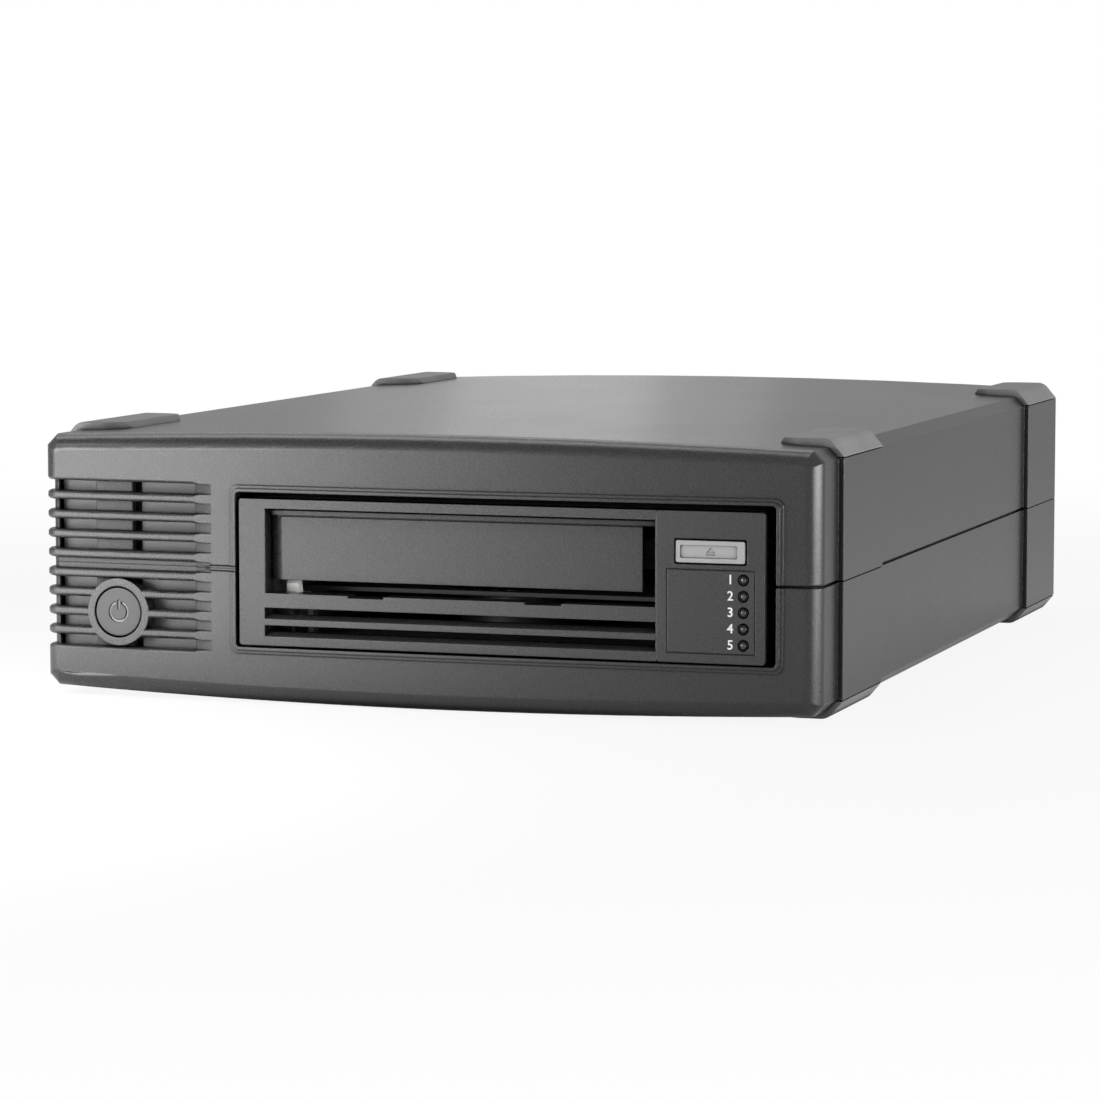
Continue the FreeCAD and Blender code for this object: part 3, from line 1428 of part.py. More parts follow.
def make_fan():
    y1 = rear_y - rear_t
    y0 = y1 - fan_deep
    h = fan_size / 2
    frame = round_box(fan_x - h, fan_x + h, y0, y1, fan_z - h, fan_z + h, 3.5, V(0, 1, 0))
    duct = rod_y(h - fan_wall, fan_x, fan_z, y0 - 1, y1 + 1)
    cuts = [duct]
    screws = []
    for sx in (-1, 1):
        for sz in (-1, 1):
            x, z = fan_x + sx * fan_pitch / 2, fan_z + sz * fan_pitch / 2
            cuts.append(rod_y(screw_r + hole_play, x, z, y0 - 1, y1 + 1))
            screws.append(put(screw(12.0), x, rear_y, z, V(1, 0, 0), 90))
    frame = frame.cut(cuts)
    hub = rod_y(fan_hub_r, fan_x, fan_z, y1 - 3, y1)
    struts = []
    for i in range(4):
        strut = box(fan_hub_r - 1, h - 0.8, y1 - 3, y1 - 0.6, -1.2, 1.2)
        strut.rotate(V(0, 0, 0), V(0, 1, 0), 45 + 90 * i)
        strut.translate(V(fan_x, 0, fan_z))
        struts.append(strut)
    pin = rod_y(1.5, fan_x, fan_z, y0 + 4, y1 - 1)
    frame = fuse([frame, hub, pin] + struts)

    cup = rod_y(fan_hub_r + 0.5, fan_x, fan_z, y0 + 2, y1 - 3.5)
    blades = []
    for i in range(fan_blades):
        blades.append(fan_blade(y0 + 3, y1 - 4.5, 360.0 * i / fan_blades))
    bore = rod_y(1.5 + shaft_fit, fan_x, fan_z, y0 + 3.4, y1)
    return frame, fuse([cup] + blades).cut(bore), screws


def fan_blade(y0, y1, turn):
    """Twisted blade lofted from hub to tip."""
    mid = (y0 + y1) / 2
    sections = []
    for r, pitch, chord in ((fan_hub_r - 0.6, 50, 13), (fan_size / 2 - fan_wall - fan_play, 34, 16)):
        a = math.radians(pitch)
        reach = min(chord / 2, (y1 - y0) / 2 / math.sin(a))
        ux, uy = math.cos(a) * reach, math.sin(a) * reach
        nx, ny = -math.sin(a) * 0.55, math.cos(a) * 0.55
        corners = [
            V(-ux - nx, mid - uy - ny, r), V(ux - nx, mid + uy - ny, r),
            V(ux + nx, mid + uy + ny, r), V(-ux + nx, mid - uy + ny, r),
        ]
        sections.append(Part.makePolygon(corners + [corners[0]]))
    blade = Part.makeLoft(sections, True, True)
    shroud = rod_y(fan_size / 2 - fan_wall - fan_play, 0, 0, y0 - 5, y1 + 5)
    blade = blade.common(shroud)
    blade.rotate(V(0, 0, 0), V(0, 1, 0), turn)
    blade.translate(V(fan_x, 0, fan_z))
    return blade


def ribbon(points, x0, x1, t):
    """Flat cable: a bent strip in the YZ plane, extruded across its width."""
    over = []
    under = []
    for i, (y, z) in enumerate(points):
        a = points[max(i - 1, 0)]
        b = points[min(i + 1, len(points) - 1)]
        dy, dz = b[0] - a[0], b[1] - a[1]
        n = math.hypot(dy, dz)
        over.append((x0, y - dz / n * t / 2, z + dy / n * t / 2))
        under.append((x0, y + dz / n * t / 2, z - dy / n * t / 2))
    return prism(over + under[::-1], (x1 - x0, 0, 0))


def make_cables():
    link_top = link_z + board_t + 7
    plug_z = chassis_low + connector_up + connector_h - 2.2
    data = ribbon([
        (chassis_back + 4.5, plug_z), (chassis_back + 9, plug_z + 0.2), (chassis_back + 14, plug_z + 3),
        (chassis_back + 19, plug_z + 6), (chassis_back + 25, plug_z + 6.5), (link_front + 0.5, link_top + 7),
        (link_front + 3.4, link_top + 4), (link_front + 4.0, link_top + 0.2),
    ], connector_x - 17, connector_x + 17, 1.0)
    low = psu_z + board_t
    wires = []
    y = psu_back - 12
    for i in range(4):
        between = inlet_x + (0.5 if i > 1 else -0.5) * inlet_pin_pitch
        x = between - 0.8 + (1.2 if i % 2 else -1.2)
        wires.append(ribbon([
            (y, low), (y, low + 8), (y + 3, low + 12), (y + 9, low + 13.5), (y + 18, low + 13.5),
            (rear_y - inlet_deep - 6, inlet_z + 0.2), (rear_y + 0.9 - inlet_deep, inlet_z + 0.4),
        ], x, x + 1.6, 1.6))
    return data, wires


def make_drive_screws():
    screws = []
    for y in side_screws:
        screws.append(put(screw(3.0), chassis_right + cradle_t, y, side_screw_z, V(0, 1, 0), -90))
        screws.append(put(screw(3.0), chassis_left - cradle_t, y, side_screw_z, V(0, 1, 0), 90))
    return screws


# -------------------------------------------------------------------- build
def save(name, solids):
    shape = solids if isinstance(solids, Part.Shape) else Part.makeCompound(solids)
    if len(shape.Solids) == 1:
        shape = shape.Solids[0]
    shape.exportStep(os.path.join("parts", name + ".step"))


def main():
    os.makedirs("parts", exist_ok=True)
    upper, lower = make_shells()
    save("upper_shell", upper)
    save("lower_shell", lower)
    tops, lows = make_feet()
    save("top_feet", tops)
    save("bottom_feet", lows)
    save("vent_baffle", make_baffle())
    save("power_button", make_power_button())
    save("power_switch", make_power_switch())
    save("drive_bezel", make_bezel())
    save("control_panel", make_control_panel())
    save("cartridge_door", make_door())
    save("entry_lever", make_lever())
    save("eject_button", make_eject_button())
    save("status_lights", make_lamps())
    save("front_board", make_front_board())
    save("drive_chassis", make_chassis())
    save("drive_cover", make_cover())
    save("cartridge_tray", make_tray())
    save("loader_gear", make_loader_gear())
    save("loader_motor", make_loader_motor())
    save("reel_motors", make_reel_motors())
    save("supply_chuck", make_chuck())
    save("takeup_reel", make_reel())
    for i, (x, y) in enumerate(roller_spots):
        save("guide_roller_%d" % (i + 1), make_roller(x, y))
    base, carriage = make_head()
    save("head_base", base)
    save("head_carriage", carriage)
    save("threading_arm", make_arm())
    board, chips = make_main_board()
    save("main_board", board)
    save("board_chips", chips)
    save("drive_connector", make_drive_connector())
    save("drive_cradle", make_cradle())
    save("drive_screws", make_drive_screws())
    low = cradle_low - seat_cradle
    save("cradle_screws", [put(screw(seat_cradle + cradle_t), x, y, low) for x, y in cradle_spots])
    low = case_joint - seat_below
    save("case_screws", [put(screw(seat_below + 9), x, y, low) for x, y in case_posts])
    board, transformer, caps, sinks, screws = make_psu()
    save("psu_board", board)
    save("psu_transformer", transformer)
    save("psu_capacitors", caps)
    save("psu_heatsinks", sinks)
    board_screws = screws
    board, screws = make_link_board()
    save("link_board", board)
    save("board_screws", board_screws + screws)
    save("data_ports", make_ports())
    inlet, pins, screws = make_inlet()
    save("power_inlet", inlet)
    save("inlet_pins", pins)
    panel_screws = screws
    save("rear_panel", make_rear_panel())
    frame, rotor, screws = make_fan()
    save("fan_frame", frame)
    save("fan_rotor", rotor)
    save("panel_screws", panel_screws + screws)
    data, wires = make_cables()
    save("data_cable", data)
    save("mains_wires", wires)


main()
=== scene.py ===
import json
import math

import bmesh
import bpy
from mathutils import Matrix, Vector


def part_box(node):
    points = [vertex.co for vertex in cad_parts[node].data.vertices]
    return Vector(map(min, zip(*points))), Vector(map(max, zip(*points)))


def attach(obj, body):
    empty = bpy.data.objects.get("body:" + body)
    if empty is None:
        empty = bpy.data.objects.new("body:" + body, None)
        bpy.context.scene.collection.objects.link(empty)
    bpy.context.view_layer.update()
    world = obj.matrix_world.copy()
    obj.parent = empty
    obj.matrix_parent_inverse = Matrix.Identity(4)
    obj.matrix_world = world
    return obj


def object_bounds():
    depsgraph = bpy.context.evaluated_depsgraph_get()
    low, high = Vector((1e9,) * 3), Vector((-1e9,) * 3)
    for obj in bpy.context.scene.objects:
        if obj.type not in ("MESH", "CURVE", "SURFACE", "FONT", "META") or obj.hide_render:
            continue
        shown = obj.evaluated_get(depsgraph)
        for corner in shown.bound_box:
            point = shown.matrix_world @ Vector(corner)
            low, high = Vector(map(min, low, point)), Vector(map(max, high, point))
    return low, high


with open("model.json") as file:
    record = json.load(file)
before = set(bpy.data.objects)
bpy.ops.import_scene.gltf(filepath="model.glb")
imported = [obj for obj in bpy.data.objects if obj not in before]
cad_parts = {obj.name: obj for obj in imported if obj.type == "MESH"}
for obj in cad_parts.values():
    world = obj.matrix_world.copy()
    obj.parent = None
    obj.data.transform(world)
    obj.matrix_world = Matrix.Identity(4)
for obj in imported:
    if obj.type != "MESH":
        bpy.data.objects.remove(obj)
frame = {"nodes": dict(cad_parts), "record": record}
cad_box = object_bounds()
nodes = frame["nodes"]
MM = 0.001

# ------------------------------------------------------------------ sizes
# Print and lenses, in millimetres where no share or angle is named; their places hang on the
# boxes of the nodes that carry them.
FIGURE_SIZE = 3.5
FIGURE_GAP = 2.7            # from the middle of a lamp to the end of its figure
FIGURE_BOLD = 0.012         # widening of the strokes, as a share of the size
PRINT_THICK = 0.03
MARK_THICK = 0.04
LAMPS = 5
LENS_SHARE = 0.58           # radius of a lens over the radius of its light pipe
LENS_RISE = 0.28            # rise of a lens over its own radius
LENS_CROWN = 0.92           # part of a quarter turn that the dome runs through
LENS_SINK = 0.02            # how far its rim sits inside the pipe's mouth
SYMBOL_SINK = 0.48          # floor of the symbol's dish behind the button's face
SYMBOL_RING = (2.38, 2.87)  # inner and outer radius
SYMBOL_OPEN = 23.0          # half of the ring's gap at its top, in degrees
SYMBOL_BAR = (0.26, 0.65, 3.25)     # half width, lower end, upper end

# Camera: place in millimetres, angles in radians, lens for a 36 mm sensor.
CAMERA_PLACE = (380.5, -1184.5, 149.6)
CAMERA_YAW = 0.3209
CAMERA_PITCH = 0.0961
CAMERA_LENS = 134.9

# Floor and world: lengths in metres, the rest as shares of white.
FLOOR_REACH = 6.0
FLOOR_DROP = 0.0001         # keeps the floor clear of the foot caps
FLOOR_COLOR = (0.70, 0.70, 0.70)
FLOOR_SEEN = 0.90           # white share that the camera sees close to the object
FLOOR_SEEN_FROM = 0.22      # distance at which that share starts to rise
FLOOR_SEEN_TO = 0.75        # distance at which it is all white
WORLD_LIGHT = 0.22          # level at which the world lights the object
WHITE = (1.0, 1.0, 1.0, 1.0)
SHINE = 0.35                # part of the white background that reflections see

# ---------------------------------------------------------------- helpers


def corners(name):
    low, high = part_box(name)
    return Vector(low), Vector(high)


def mesh_from(bm, name, smooth=False):
    bmesh.ops.recalc_face_normals(bm, faces=bm.faces)
    mesh = bpy.data.meshes.new(name)
    bm.to_mesh(mesh)
    bm.free()
    for face in mesh.polygons:
        face.use_smooth = smooth
    return mesh


def new_piece(mesh, body, finish):
    """Visible piece of its own, named after its mesh, that rides on a body."""
    obj = bpy.data.objects.new(mesh.name, mesh)
    bpy.context.scene.collection.objects.link(obj)
    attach(obj, body)
    mesh.materials.append(finish)
    return obj


def tinted(color, share, lift=0.0):
    return [min(1.0, c * share + lift) for c in color]


def grey(value):
    return (value, value, value)


class Nodes:
    """Short names for the shader nodes that the materials share."""

    NOISE_LOW = 0.3             # most values of a noise texture lie between these
    NOISE_HIGH = 0.7
    EDGE_GAIN = 4.0             # how fast a rounded edge counts as worn
    GRAIN_LOW = 0.35            # dark and light ends of the fine grain
    GRAIN_HIGH = 0.65
    # Painted shade in gaps: ambient occlusion fades colour and gloss towards these.
    GAP_DARK = 0.32             # open share at which a gap is black
    GAP_OPEN = 0.84             # open share from which a face keeps its colour
    GAP_SHADE_COLOR = (0.001, 0.001, 0.001)
    GAP_GLOSS = 0.02
    OPEN_GLOSS = 0.5

    def __init__(self, name):
        self.mat = bpy.data.materials.new(name)
        self.mat.use_nodes = True
        self.tree = self.mat.node_tree
        self.shader = self.tree.nodes["Principled BSDF"]
        self.coord = self.tree.nodes.new("ShaderNodeTexCoord").outputs["Object"]

    def link(self, output, socket):
        self.tree.links.new(output, socket)

    def add(self, kind, **values):
        node = self.tree.nodes.new(kind)
        for key, value in values.items():
            if hasattr(node, key):
                setattr(node, key, value)
            else:
                node.inputs[key.replace("_", " ")].default_value = value
        return node

    def scaled(self, scale):
        mapping = self.add("ShaderNodeMapping", Scale=scale)
        self.link(self.coord, mapping.inputs["Vector"])
        return mapping.outputs["Vector"]

    def noise(self, scale, detail=2.0, rough=0.5, vector=None):
        node = self.add("ShaderNodeTexNoise", Scale=scale, Detail=detail, Roughness=rough)
        self.link(vector or self.coord, node.inputs["Vector"])
        return node.outputs["Fac"]

    def remap(self, value, low, high, out_low, out_high):
        node = self.add("ShaderNodeMapRange")
        node.inputs["From Min"].default_value = low
        node.inputs["From Max"].default_value = high
        node.inputs["To Min"].default_value = out_low
        node.inputs["To Max"].default_value = out_high
        self.link(value, node.inputs["Value"])
        return node.outputs["Result"]

    def vary(self, noise, out_low, out_high):
        return self.remap(noise, self.NOISE_LOW, self.NOISE_HIGH, out_low, out_high)

    def math(self, kind, a, b):
        node = self.add("ShaderNodeMath", operation=kind)
        for socket, value in zip(node.inputs, (a, b)):
            if isinstance(value, (int, float)):
                socket.default_value = value
            else:
                self.link(value, socket)
        return node.outputs["Value"]

    def mix(self, share, a, b):
        node = self.add("ShaderNodeMix", data_type="RGBA")
        self.link(share, node.inputs["Factor"])
        for socket, value in ((node.inputs[6], a), (node.inputs[7], b)):
            if isinstance(value, (tuple, list)):
                socket.default_value = (*value, 1.0)
            else:
                self.link(value, socket)
        return node.outputs[2]

    def soft_edges(self, radius):
        bevel = self.add("ShaderNodeBevel", samples=6, Radius=radius)
        return bevel.outputs["Normal"]

    def edge_mask(self, normal):
        """0 on a flat, towards 1 on a rounded edge."""
        geometry = self.add("ShaderNodeNewGeometry")
        dot = self.add("ShaderNodeVectorMath", operation="DOT_PRODUCT")
        self.link(normal, dot.inputs[0])
        self.link(geometry.outputs["Normal"], dot.inputs[1])
        return self.remap(dot.outputs["Value"], 1.0, 1.0 - 1.0 / self.EDGE_GAIN, 0.0, 1.0)

    def worn(self, color, normal, share, light):
        """Lighter colour on the edges that hands and cloths reach."""
        return self.mix(self.math("MULTIPLY", self.edge_mask(normal), share), color, light)

    def paint_gap_shade(self, color, reach):
        """Painted shade: darken colour and gloss in gaps that are narrower than the reach."""
        node = self.add("ShaderNodeAmbientOcclusion", samples=4, Distance=reach)
        share = self.remap(node.outputs["AO"], self.GAP_DARK, self.GAP_OPEN, 0.0, 1.0)
        gloss = self.remap(share, 0.0, 1.0, self.GAP_GLOSS, self.OPEN_GLOSS)
        self.link(gloss, self.shader.inputs["Specular IOR Level"])
        return self.mix(share, self.GAP_SHADE_COLOR, color)

    def bump(self, height, strength, distance, normal=None):
        node = self.add("ShaderNodeBump", Strength=strength, Distance=distance)
        self.link(height, node.inputs["Height"])
        if normal is not None:
            self.link(normal, node.inputs["Normal"])
        return node.outputs["Normal"]

    def finish(self, color, rough, normal, **constants):
        self.link(color, self.shader.inputs["Base Color"])
        self.link(rough, self.shader.inputs["Roughness"])
        self.link(normal, self.shader.inputs["Normal"])
        for key, value in constants.items():
            self.shader.inputs[key.replace("_", " ")].default_value = value
        return self.mat


# ---------------------------------------------------------------- materials


def moulded(name, color, rough, grain=2800.0, depth=0.00005, edge=0.00045, wear=0.08, gap=0.0035):
    """Moulded plastic with an eroded-mould grain, handled lighter at its edges."""
    n = Nodes(name)
    soft = n.soft_edges(edge)
    fine = n.noise(grain, detail=3.0, rough=0.6)
    broad = n.noise(22.0, detail=3.0, rough=0.55)
    base = n.mix(n.vary(broad, 0.0, 1.0), tinted(color, 0.96), tinted(color, 1.04))
    grains = n.math("MULTIPLY", n.remap(fine, n.GRAIN_LOW, n.GRAIN_HIGH, 0.0, 1.0), 0.35)
    base = n.mix(grains, base, tinted(color, 1.2))
    base = n.worn(base, soft, wear, tinted(color, 2.2, 0.01))
    # Painted shade: colour and gloss go dark in gaps narrower than the gap reach.
    base = n.paint_gap_shade(base, gap)
    roughness = n.math(
        "ADD", n.vary(fine, rough - 0.05, rough + 0.06), n.vary(broad, -0.008, 0.012))
    return n.finish(base, roughness, n.bump(fine, strength=0.2, distance=depth, normal=soft))


def rubber(name, color, rough):
    """Matt rubber with a little dust, polished lighter at its edges."""
    n = Nodes(name)
    soft = n.soft_edges(0.0006)
    fine = n.noise(2200.0, detail=4.0, rough=0.7)
    dust = n.noise(60.0, detail=4.0, rough=0.6)
    base = n.mix(n.remap(dust, 0.35, 0.75, 0.0, 0.5), color, tinted(color, 1.5, 0.004))
    base = n.worn(base, soft, 0.25, tinted(color, 2.0, 0.01))
    # Painted shade: colour and gloss go dark in gaps narrower than 3 mm.
    base = n.paint_gap_shade(base, 0.003)
    roughness = n.vary(fine, rough - 0.06, rough + 0.08)
    return n.finish(base, roughness, n.bump(fine, strength=0.4, distance=0.00005, normal=soft))


def metal(name, color, rough, stretch=(1.0, 1.0, 1.0), scale=900.0, metallic=1.0, gap=0.004):
    """Drawn or cast metal: streaks along the axis with the smallest stretch."""
    n = Nodes(name)
    soft = n.soft_edges(0.0003)
    streak = n.noise(scale, detail=4.0, rough=0.6, vector=n.scaled(stretch))
    cloud = n.noise(35.0, detail=3.0)
    base = n.mix(n.vary(streak, 0.0, 1.0), tinted(color, 0.86), tinted(color, 1.08))
    base = n.mix(n.remap(cloud, 0.4, 0.8, 0.0, 0.25), base, tinted(color, 0.7))
    # Painted shade: colour and gloss go dark in gaps narrower than the gap reach.
    base = n.paint_gap_shade(base, gap)
    roughness = n.vary(streak, rough - 0.06, rough + 0.08)
    normal = n.bump(streak, strength=0.15, distance=0.00004, normal=soft)
    return n.finish(base, roughness, normal, Metallic=metallic)


def circuit(name):
    """Lacquered board with traces and pads under the mask."""
    n = Nodes(name)
    cells = n.add(
        "ShaderNodeTexVoronoi", feature="DISTANCE_TO_EDGE", distance="MANHATTAN", Scale=260.0)
    n.link(n.coord, cells.inputs["Vector"])
    trace = n.remap(cells.outputs["Distance"], 0.02, 0.06, 1.0, 0.0)
    speck = n.add("ShaderNodeTexVoronoi", Scale=420.0)
    n.link(n.coord, speck.inputs["Vector"])
    pad = n.remap(speck.outputs["Distance"], 0.10, 0.14, 1.0, 0.0)
    base = n.mix(trace, (0.010, 0.085, 0.035), (0.025, 0.16, 0.06))
    base = n.mix(pad, base, (0.55, 0.52, 0.45))
    normal = n.bump(trace, strength=0.2, distance=0.00005, normal=n.soft_edges(0.0002))
    return n.finish(base, n.vary(n.noise(300.0), 0.22, 0.34), normal)


def lens(name, color, coat, specular):
    """Tinted clear plastic of the lamps."""
    n = Nodes(name)
    flow = n.noise(700.0)
    base = n.mix(n.vary(flow, 0.0, 1.0), tinted(color, 0.8), tinted(color, 1.25))
    normal = n.bump(flow, strength=0.08, distance=0.00002, normal=n.soft_edges(0.0003))
    return n.finish(
        base, n.vary(flow, 0.10, 0.18), normal, Coat_Weight=coat, Specular_IOR_Level=specular)


def printed(name, color):
    """Screen-printed ink, slightly uneven."""
    n = Nodes(name)
    ink = n.noise(2600.0, detail=3.0, rough=0.6)
    base = n.mix(n.vary(ink, 0.0, 1.0), tinted(color, 0.88), color)
    return n.finish(base, n.vary(ink, 0.45, 0.6), n.bump(ink, strength=0.2, distance=0.00002))


ALONG_X = (0.02, 1.0, 1.0)      # stretch of the streaks of rolled sheet

# The gap reach of each finish sets how far painted shade spreads into its gaps; the cover metal's
# long reach paints deep shade over the drive's inner parts.
black_plastic = moulded("black_plastic", grey(0.018), rough=0.45, grain=1800.0)
cover_metal = metal(
    "cover_metal", (0.05, 0.05, 0.052), rough=0.6, stretch=ALONG_X, metallic=0.5, gap=0.012)

SLOT_FINISH = {
    "case_plastic": moulded("case_plastic", grey(0.021), rough=0.27),
    "foot_rubber": rubber("foot_rubber", grey(0.150), rough=0.5),
    "inner_plastic": moulded("inner_plastic", grey(0.060), rough=0.42, grain=1300.0, gap=0.0015),
    "bezel_plastic": moulded(
        "bezel_plastic", grey(0.022), rough=0.27, grain=3000.0, edge=0.0003, gap=0.008),
    "panel_plastic": moulded(
        "panel_plastic", grey(0.019), rough=0.29, grain=3200.0, depth=0.00003, edge=0.0003,
        gap=0.0008),
    "black_plastic": black_plastic,
    "white_plastic": moulded(
        "white_plastic", (0.72, 0.72, 0.70), rough=0.4, grain=1600.0, wear=0.0),
    "silver_plastic": moulded(
        "silver_plastic", grey(0.30), rough=0.34, grain=3000.0, depth=0.00002, edge=0.0003,
        gap=0.0012),
    "lamp_plastic": lens("pipe_plastic", grey(0.006), coat=0.0, specular=0.12),
    "board": circuit("board"),
    "cast_metal": metal("cast_metal", (0.10, 0.10, 0.105), rough=0.6, scale=1200.0, metallic=0.6),
    "sheet_metal": metal("sheet_metal", (0.60, 0.60, 0.61), rough=0.34, stretch=ALONG_X),
    "panel_metal": moulded("panel_metal", grey(0.030), rough=0.5, grain=1100.0, edge=0.0002),
    "machined": metal(
        "machined", (0.66, 0.66, 0.67), rough=0.24, stretch=(1.0, 1.0, 12.0), scale=400.0),
    "clear_plastic": moulded(
        "reel_plastic", (0.34, 0.35, 0.38), rough=0.3, grain=2000.0, wear=0.0),
    "screw_steel": metal("screw_steel", (0.42, 0.42, 0.43), rough=0.3, scale=1500.0),
    "pin_metal": metal("pin_metal", (0.72, 0.70, 0.64), rough=0.2, stretch=(1.0, 0.1, 1.0)),
    "cable": moulded("cable_jacket", (0.22, 0.23, 0.26), rough=0.5, grain=900.0),
}
NODE_FINISH = {
    "cartridge_door": moulded(
        "door_plastic", grey(0.019), rough=0.26, grain=3000.0, edge=0.0003, gap=0.006),
    "power_button": moulded(
        "button_plastic", grey(0.022), rough=0.32, grain=2400.0, depth=0.00003),
    "drive_cover": cover_metal,
    "cartridge_tray": cover_metal,
    "drive_cradle": cover_metal,
    "supply_chuck": black_plastic,
}
lens_finish = lens("lamp_plastic", grey(0.035), coat=0.2, specular=0.5)
white_ink = printed("white_ink", (0.80, 0.80, 0.80))
grey_ink = printed("grey_ink", (0.42, 0.42, 0.42))

slot_of = {s["node"]: s["material_slot"] for s in frame["record"]["subparts"]}
for name, obj in nodes.items():
    finish = NODE_FINISH.get(name, SLOT_FINISH[slot_of[name]])
    if not obj.material_slots:
        obj.data.materials.append(finish)
    for entry in obj.material_slots:
        entry.material = finish

# ------------------------------------------------------- print and lenses


def figure_mesh(body, x, y, z):
    """Plain figure that ends at x and stands a hair proud of a face that looks along -Y."""
    curve = bpy.data.curves.new("figure", "FONT")
    curve.body = body
    curve.size = FIGURE_SIZE * MM
    curve.align_x = "RIGHT"
    curve.align_y = "CENTER"
    curve.extrude = PRINT_THICK * MM
    curve.offset = FIGURE_SIZE * MM * FIGURE_BOLD
    curve.resolution_u = 4
    holder = bpy.data.objects.new("figure", curve)
    bpy.context.scene.collection.objects.link(holder)
    bpy.context.view_layer.update()
    mesh = bpy.data.meshes.new_from_object(holder)
    bpy.data.objects.remove(holder)
    mesh.transform(Matrix.Translation((x, y, z)) @ Matrix.Rotation(math.pi / 2, 4, "X"))
    return mesh


def lens_dome(bm, x, y, z, r, rings=5, steps=24):
    """Low lens standing in the mouth of one light pipe, with a small flat as its crown."""
    previous = None
    for j in range(rings + 1):
        t = j / rings * math.pi / 2
        ring_r = r * math.cos(t * LENS_CROWN)
        ring_y = y - r * LENS_RISE * math.sin(t)
        ring = []
        for k in range(steps):
            a = 2 * math.pi * k / steps
            place = (x + ring_r * math.cos(a), ring_y, z + ring_r * math.sin(a))
            ring.append(bm.verts.new(place))
        if previous:
            for k in range(steps):
                m = (k + 1) % steps
                bm.faces.new((previous[k], previous[m], ring[m], ring[k]))
        previous = ring
    bm.faces.new(previous)


def arc_band(bm, x, y, z, radii, start, end, steps=40):
    """Flat band along an arc that faces -Y, as thick as a mark."""
    inner, outer = (r * MM for r in radii)
    lift = MARK_THICK * MM
    sections = []
    for k in range(steps + 1):
        a = start + (end - start) * k / steps
        section = []
        for r, dy in ((inner, 0.0), (outer, 0.0), (outer, -lift), (inner, -lift)):
            section.append(bm.verts.new((x + r * math.cos(a), y + dy, z + r * math.sin(a))))
        sections.append(section)
    for a, b in zip(sections, sections[1:]):
        for k in range(4):
            m = (k + 1) % 4
            bm.faces.new((a[k], a[m], b[m], b[k]))
    bm.faces.new(sections[0])
    bm.faces.new(sections[-1])


def bar(bm, x, y, z, half, low, high):
    """Upright bar that faces -Y, as thick as a mark."""
    outline = [
        (x + dx * MM, z + dz * MM)
        for dx, dz in ((-half, low), (half, low), (half, high), (-half, high))]
    back = [bm.verts.new((px, y, pz)) for px, pz in outline]
    front = [bm.verts.new((px, y - MARK_THICK * MM, pz)) for px, pz in outline]
    bm.faces.new(back)
    bm.faces.new(front[::-1])
    for k in range(4):
        m = (k + 1) % 4
        bm.faces.new((back[k], back[m], front[m], front[k]))


pipes_low, pipes_high = corners("status_lights")
lamp_x = (pipes_low.x + pipes_high.x) / 2
pipe_r = (pipes_high.x - pipes_low.x) / 2
lamp_step = (pipes_high.z - pipes_low.z - 2 * pipe_r) / (LAMPS - 1)
lamp_places = [pipes_high.z - pipe_r - i * lamp_step for i in range(LAMPS)]

panel_face = corners("control_panel")[0].y
bm = bmesh.new()
for i, z in enumerate(lamp_places):
    bm.from_mesh(figure_mesh(str(i + 1), lamp_x - FIGURE_GAP * MM, panel_face, z))
new_piece(mesh_from(bm, "lamp_numbers"), "case", white_ink)

bm = bmesh.new()
for z in lamp_places:
    lens_dome(bm, lamp_x, pipes_low.y + LENS_SINK * MM, z, pipe_r * LENS_SHARE)
new_piece(mesh_from(bm, "lamp_lenses", smooth=True), "case", lens_finish)

button_low, button_high = corners("power_button")
button_x = (button_low.x + button_high.x) / 2
button_z = (button_low.z + button_high.z) / 2
dish_y = button_low.y + SYMBOL_SINK * MM
bm = bmesh.new()
arc_band(
    bm, button_x, dish_y, button_z, SYMBOL_RING,
    math.radians(90 + SYMBOL_OPEN), math.radians(450 - SYMBOL_OPEN))
bar(bm, button_x, dish_y, button_z, *SYMBOL_BAR)
new_piece(mesh_from(bm, "power_symbol"), "power_button_body", grey_ink)

# -------------------------------------------------------------------- camera
forward = Vector((
    -math.sin(CAMERA_YAW) * math.cos(CAMERA_PITCH),
    math.cos(CAMERA_YAW) * math.cos(CAMERA_PITCH),
    -math.sin(CAMERA_PITCH)))
right = Vector((math.cos(CAMERA_YAW), math.sin(CAMERA_YAW), 0.0))
up = right.cross(forward)
camera_data = bpy.data.cameras.new("camera")
camera_data.sensor_width = 36.0
camera_data.lens = CAMERA_LENS
camera_data.clip_end = 50.0
camera = bpy.data.objects.new("camera", camera_data)
turn = Matrix((right, up, -forward)).transposed().to_4x4()
camera.matrix_world = Matrix.Translation(Vector(CAMERA_PLACE) * MM) @ turn
bpy.context.scene.collection.objects.link(camera)
bpy.context.scene.camera = camera

# --------------------------------------------------------- stage and lights


def seen_rays(tree):
    """1 for rays that show the background itself, the shine for glossy ones, 0 for light."""
    path = tree.nodes.new("ShaderNodeLightPath")
    weak = tree.nodes.new("ShaderNodeMath")
    weak.operation = "MULTIPLY"
    weak.inputs[1].default_value = SHINE
    tree.links.new(path.outputs["Is Glossy Ray"], weak.inputs[0])
    value = path.outputs["Is Camera Ray"]
    for other in (path.outputs["Is Transmission Ray"], weak.outputs[0]):
        either = tree.nodes.new("ShaderNodeMath")
        either.operation = "MAXIMUM"
        tree.links.new(value, either.inputs[0])
        tree.links.new(other, either.inputs[1])
        value = either.outputs[0]
    return value


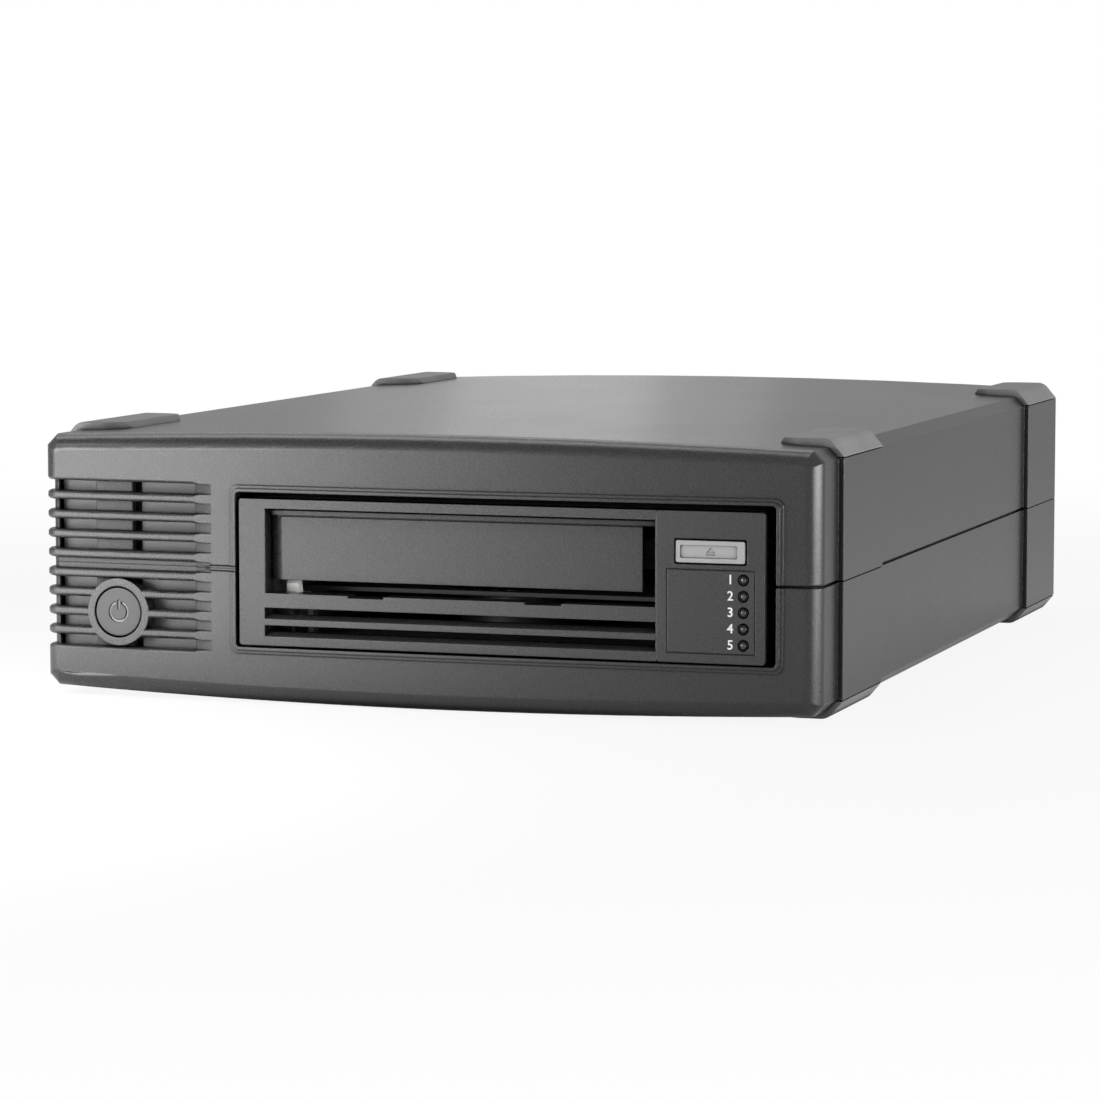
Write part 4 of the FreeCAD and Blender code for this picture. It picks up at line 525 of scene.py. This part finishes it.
def pale_paper(name):
    """Pale paper that shows near white, and quite white away from the object."""
    mat = bpy.data.materials.new(name)
    mat.use_nodes = True
    tree = mat.node_tree
    tree.nodes.clear()
    out = tree.nodes.new("ShaderNodeOutputMaterial")
    diffuse = tree.nodes.new("ShaderNodeBsdfDiffuse")
    diffuse.inputs["Color"].default_value = (*FLOOR_COLOR, 1.0)
    glow = tree.nodes.new("ShaderNodeEmission")
    glow.inputs["Color"].default_value = WHITE
    glow.inputs["Strength"].default_value = 1.0
    coord = tree.nodes.new("ShaderNodeTexCoord")
    distance = tree.nodes.new("ShaderNodeVectorMath")
    distance.operation = "LENGTH"
    tree.links.new(coord.outputs["Object"], distance.inputs[0])
    shown = tree.nodes.new("ShaderNodeMapRange")
    shown.interpolation_type = "SMOOTHSTEP"
    shown.inputs["From Min"].default_value = FLOOR_SEEN_FROM
    shown.inputs["From Max"].default_value = FLOOR_SEEN_TO
    shown.inputs["To Min"].default_value = FLOOR_SEEN
    shown.inputs["To Max"].default_value = 1.0
    tree.links.new(distance.outputs["Value"], shown.inputs["Value"])
    share = tree.nodes.new("ShaderNodeMath")
    share.operation = "MULTIPLY"
    tree.links.new(seen_rays(tree), share.inputs[0])
    tree.links.new(shown.outputs["Result"], share.inputs[1])
    blend = tree.nodes.new("ShaderNodeMixShader")
    tree.links.new(share.outputs[0], blend.inputs["Fac"])
    tree.links.new(diffuse.outputs[0], blend.inputs[1])
    tree.links.new(glow.outputs[0], blend.inputs[2])
    tree.links.new(blend.outputs[0], out.inputs["Surface"])
    return mat


bm = bmesh.new()
for sx, sy in ((-1, -1), (1, -1), (1, 1), (-1, 1)):
    bm.verts.new((sx * FLOOR_REACH, sy * FLOOR_REACH, cad_box[0][2] - FLOOR_DROP))
bm.faces.new(bm.verts)
floor = bpy.data.objects.new("floor", mesh_from(bm, "floor"))
floor.data.materials.append(pale_paper("floor_paper"))
bpy.context.scene.collection.objects.link(floor)


def lamp(name, azimuth, elevation, distance, size, power, spread=180.0, aim=(0.0, -0.05, 0.04)):
    """Soft box that faces the aim, in degrees, metres and watts; azimuth 0 is behind the object
    and 90 to its right."""
    a = math.radians(azimuth)
    e = math.radians(elevation)
    aim = Vector(aim)
    way = Vector((math.sin(a) * math.cos(e), math.cos(a) * math.cos(e), math.sin(e)))
    place = aim + distance * way
    data = bpy.data.lights.new(name, "AREA")
    data.shape = "RECTANGLE"
    data.size, data.size_y = size
    data.energy = power
    data.spread = math.radians(spread)
    obj = bpy.data.objects.new(name, data)
    obj.location = place
    obj.rotation_euler = (aim - place).to_track_quat("-Z", "Y").to_euler()
    obj.visible_camera = False
    bpy.context.scene.collection.objects.link(obj)


# Low key at the front left, and the floor it brightens: the front mirrors both.
lamp("key_left", 216.5, 4.0, distance=2.0, size=(1.05, 0.30), power=20.5)
lamp("floor_patch", 212.0, 84.0, distance=0.12, size=(0.32, 0.50), power=7.2, spread=120.0,
     aim=(-0.31, -0.44, 0.0))
# Low box on the right for the upright corner, and two overhead for the rims and the foot caps.
lamp("side_right", 102.0, 3.2, distance=1.0, size=(1.25, 0.18), power=4.0, spread=90.0)
lamp("top_soft", -80.0, 66.0, distance=1.25, size=(0.70, 1.10), power=0.8, spread=50.0)
lamp("top_rear", -25.0, 42.0, distance=1.6, size=(1.1, 1.0), power=0.4, spread=50.0)
# Narrow strip within a wider one, behind the object: the top mirrors them as a soft streak.
lamp("rear_strip", -18.3, 9.5, distance=2.1, size=(0.17, 0.5), power=0.17)
lamp("rear_wide", -18.3, 9.5, distance=2.1, size=(0.36, 0.5), power=0.13)

world = bpy.data.worlds.new("studio")
bpy.context.scene.world = world
world.use_nodes = True
tree = world.node_tree
background = tree.nodes["Background"]
background.inputs["Color"].default_value = WHITE
level = tree.nodes.new("ShaderNodeMapRange")
level.inputs["To Min"].default_value = WORLD_LIGHT
level.inputs["To Max"].default_value = 1.0
tree.links.new(seen_rays(tree), level.inputs["Value"])
tree.links.new(level.outputs[0], background.inputs["Strength"])

bpy.context.scene.view_settings.view_transform = "Standard"
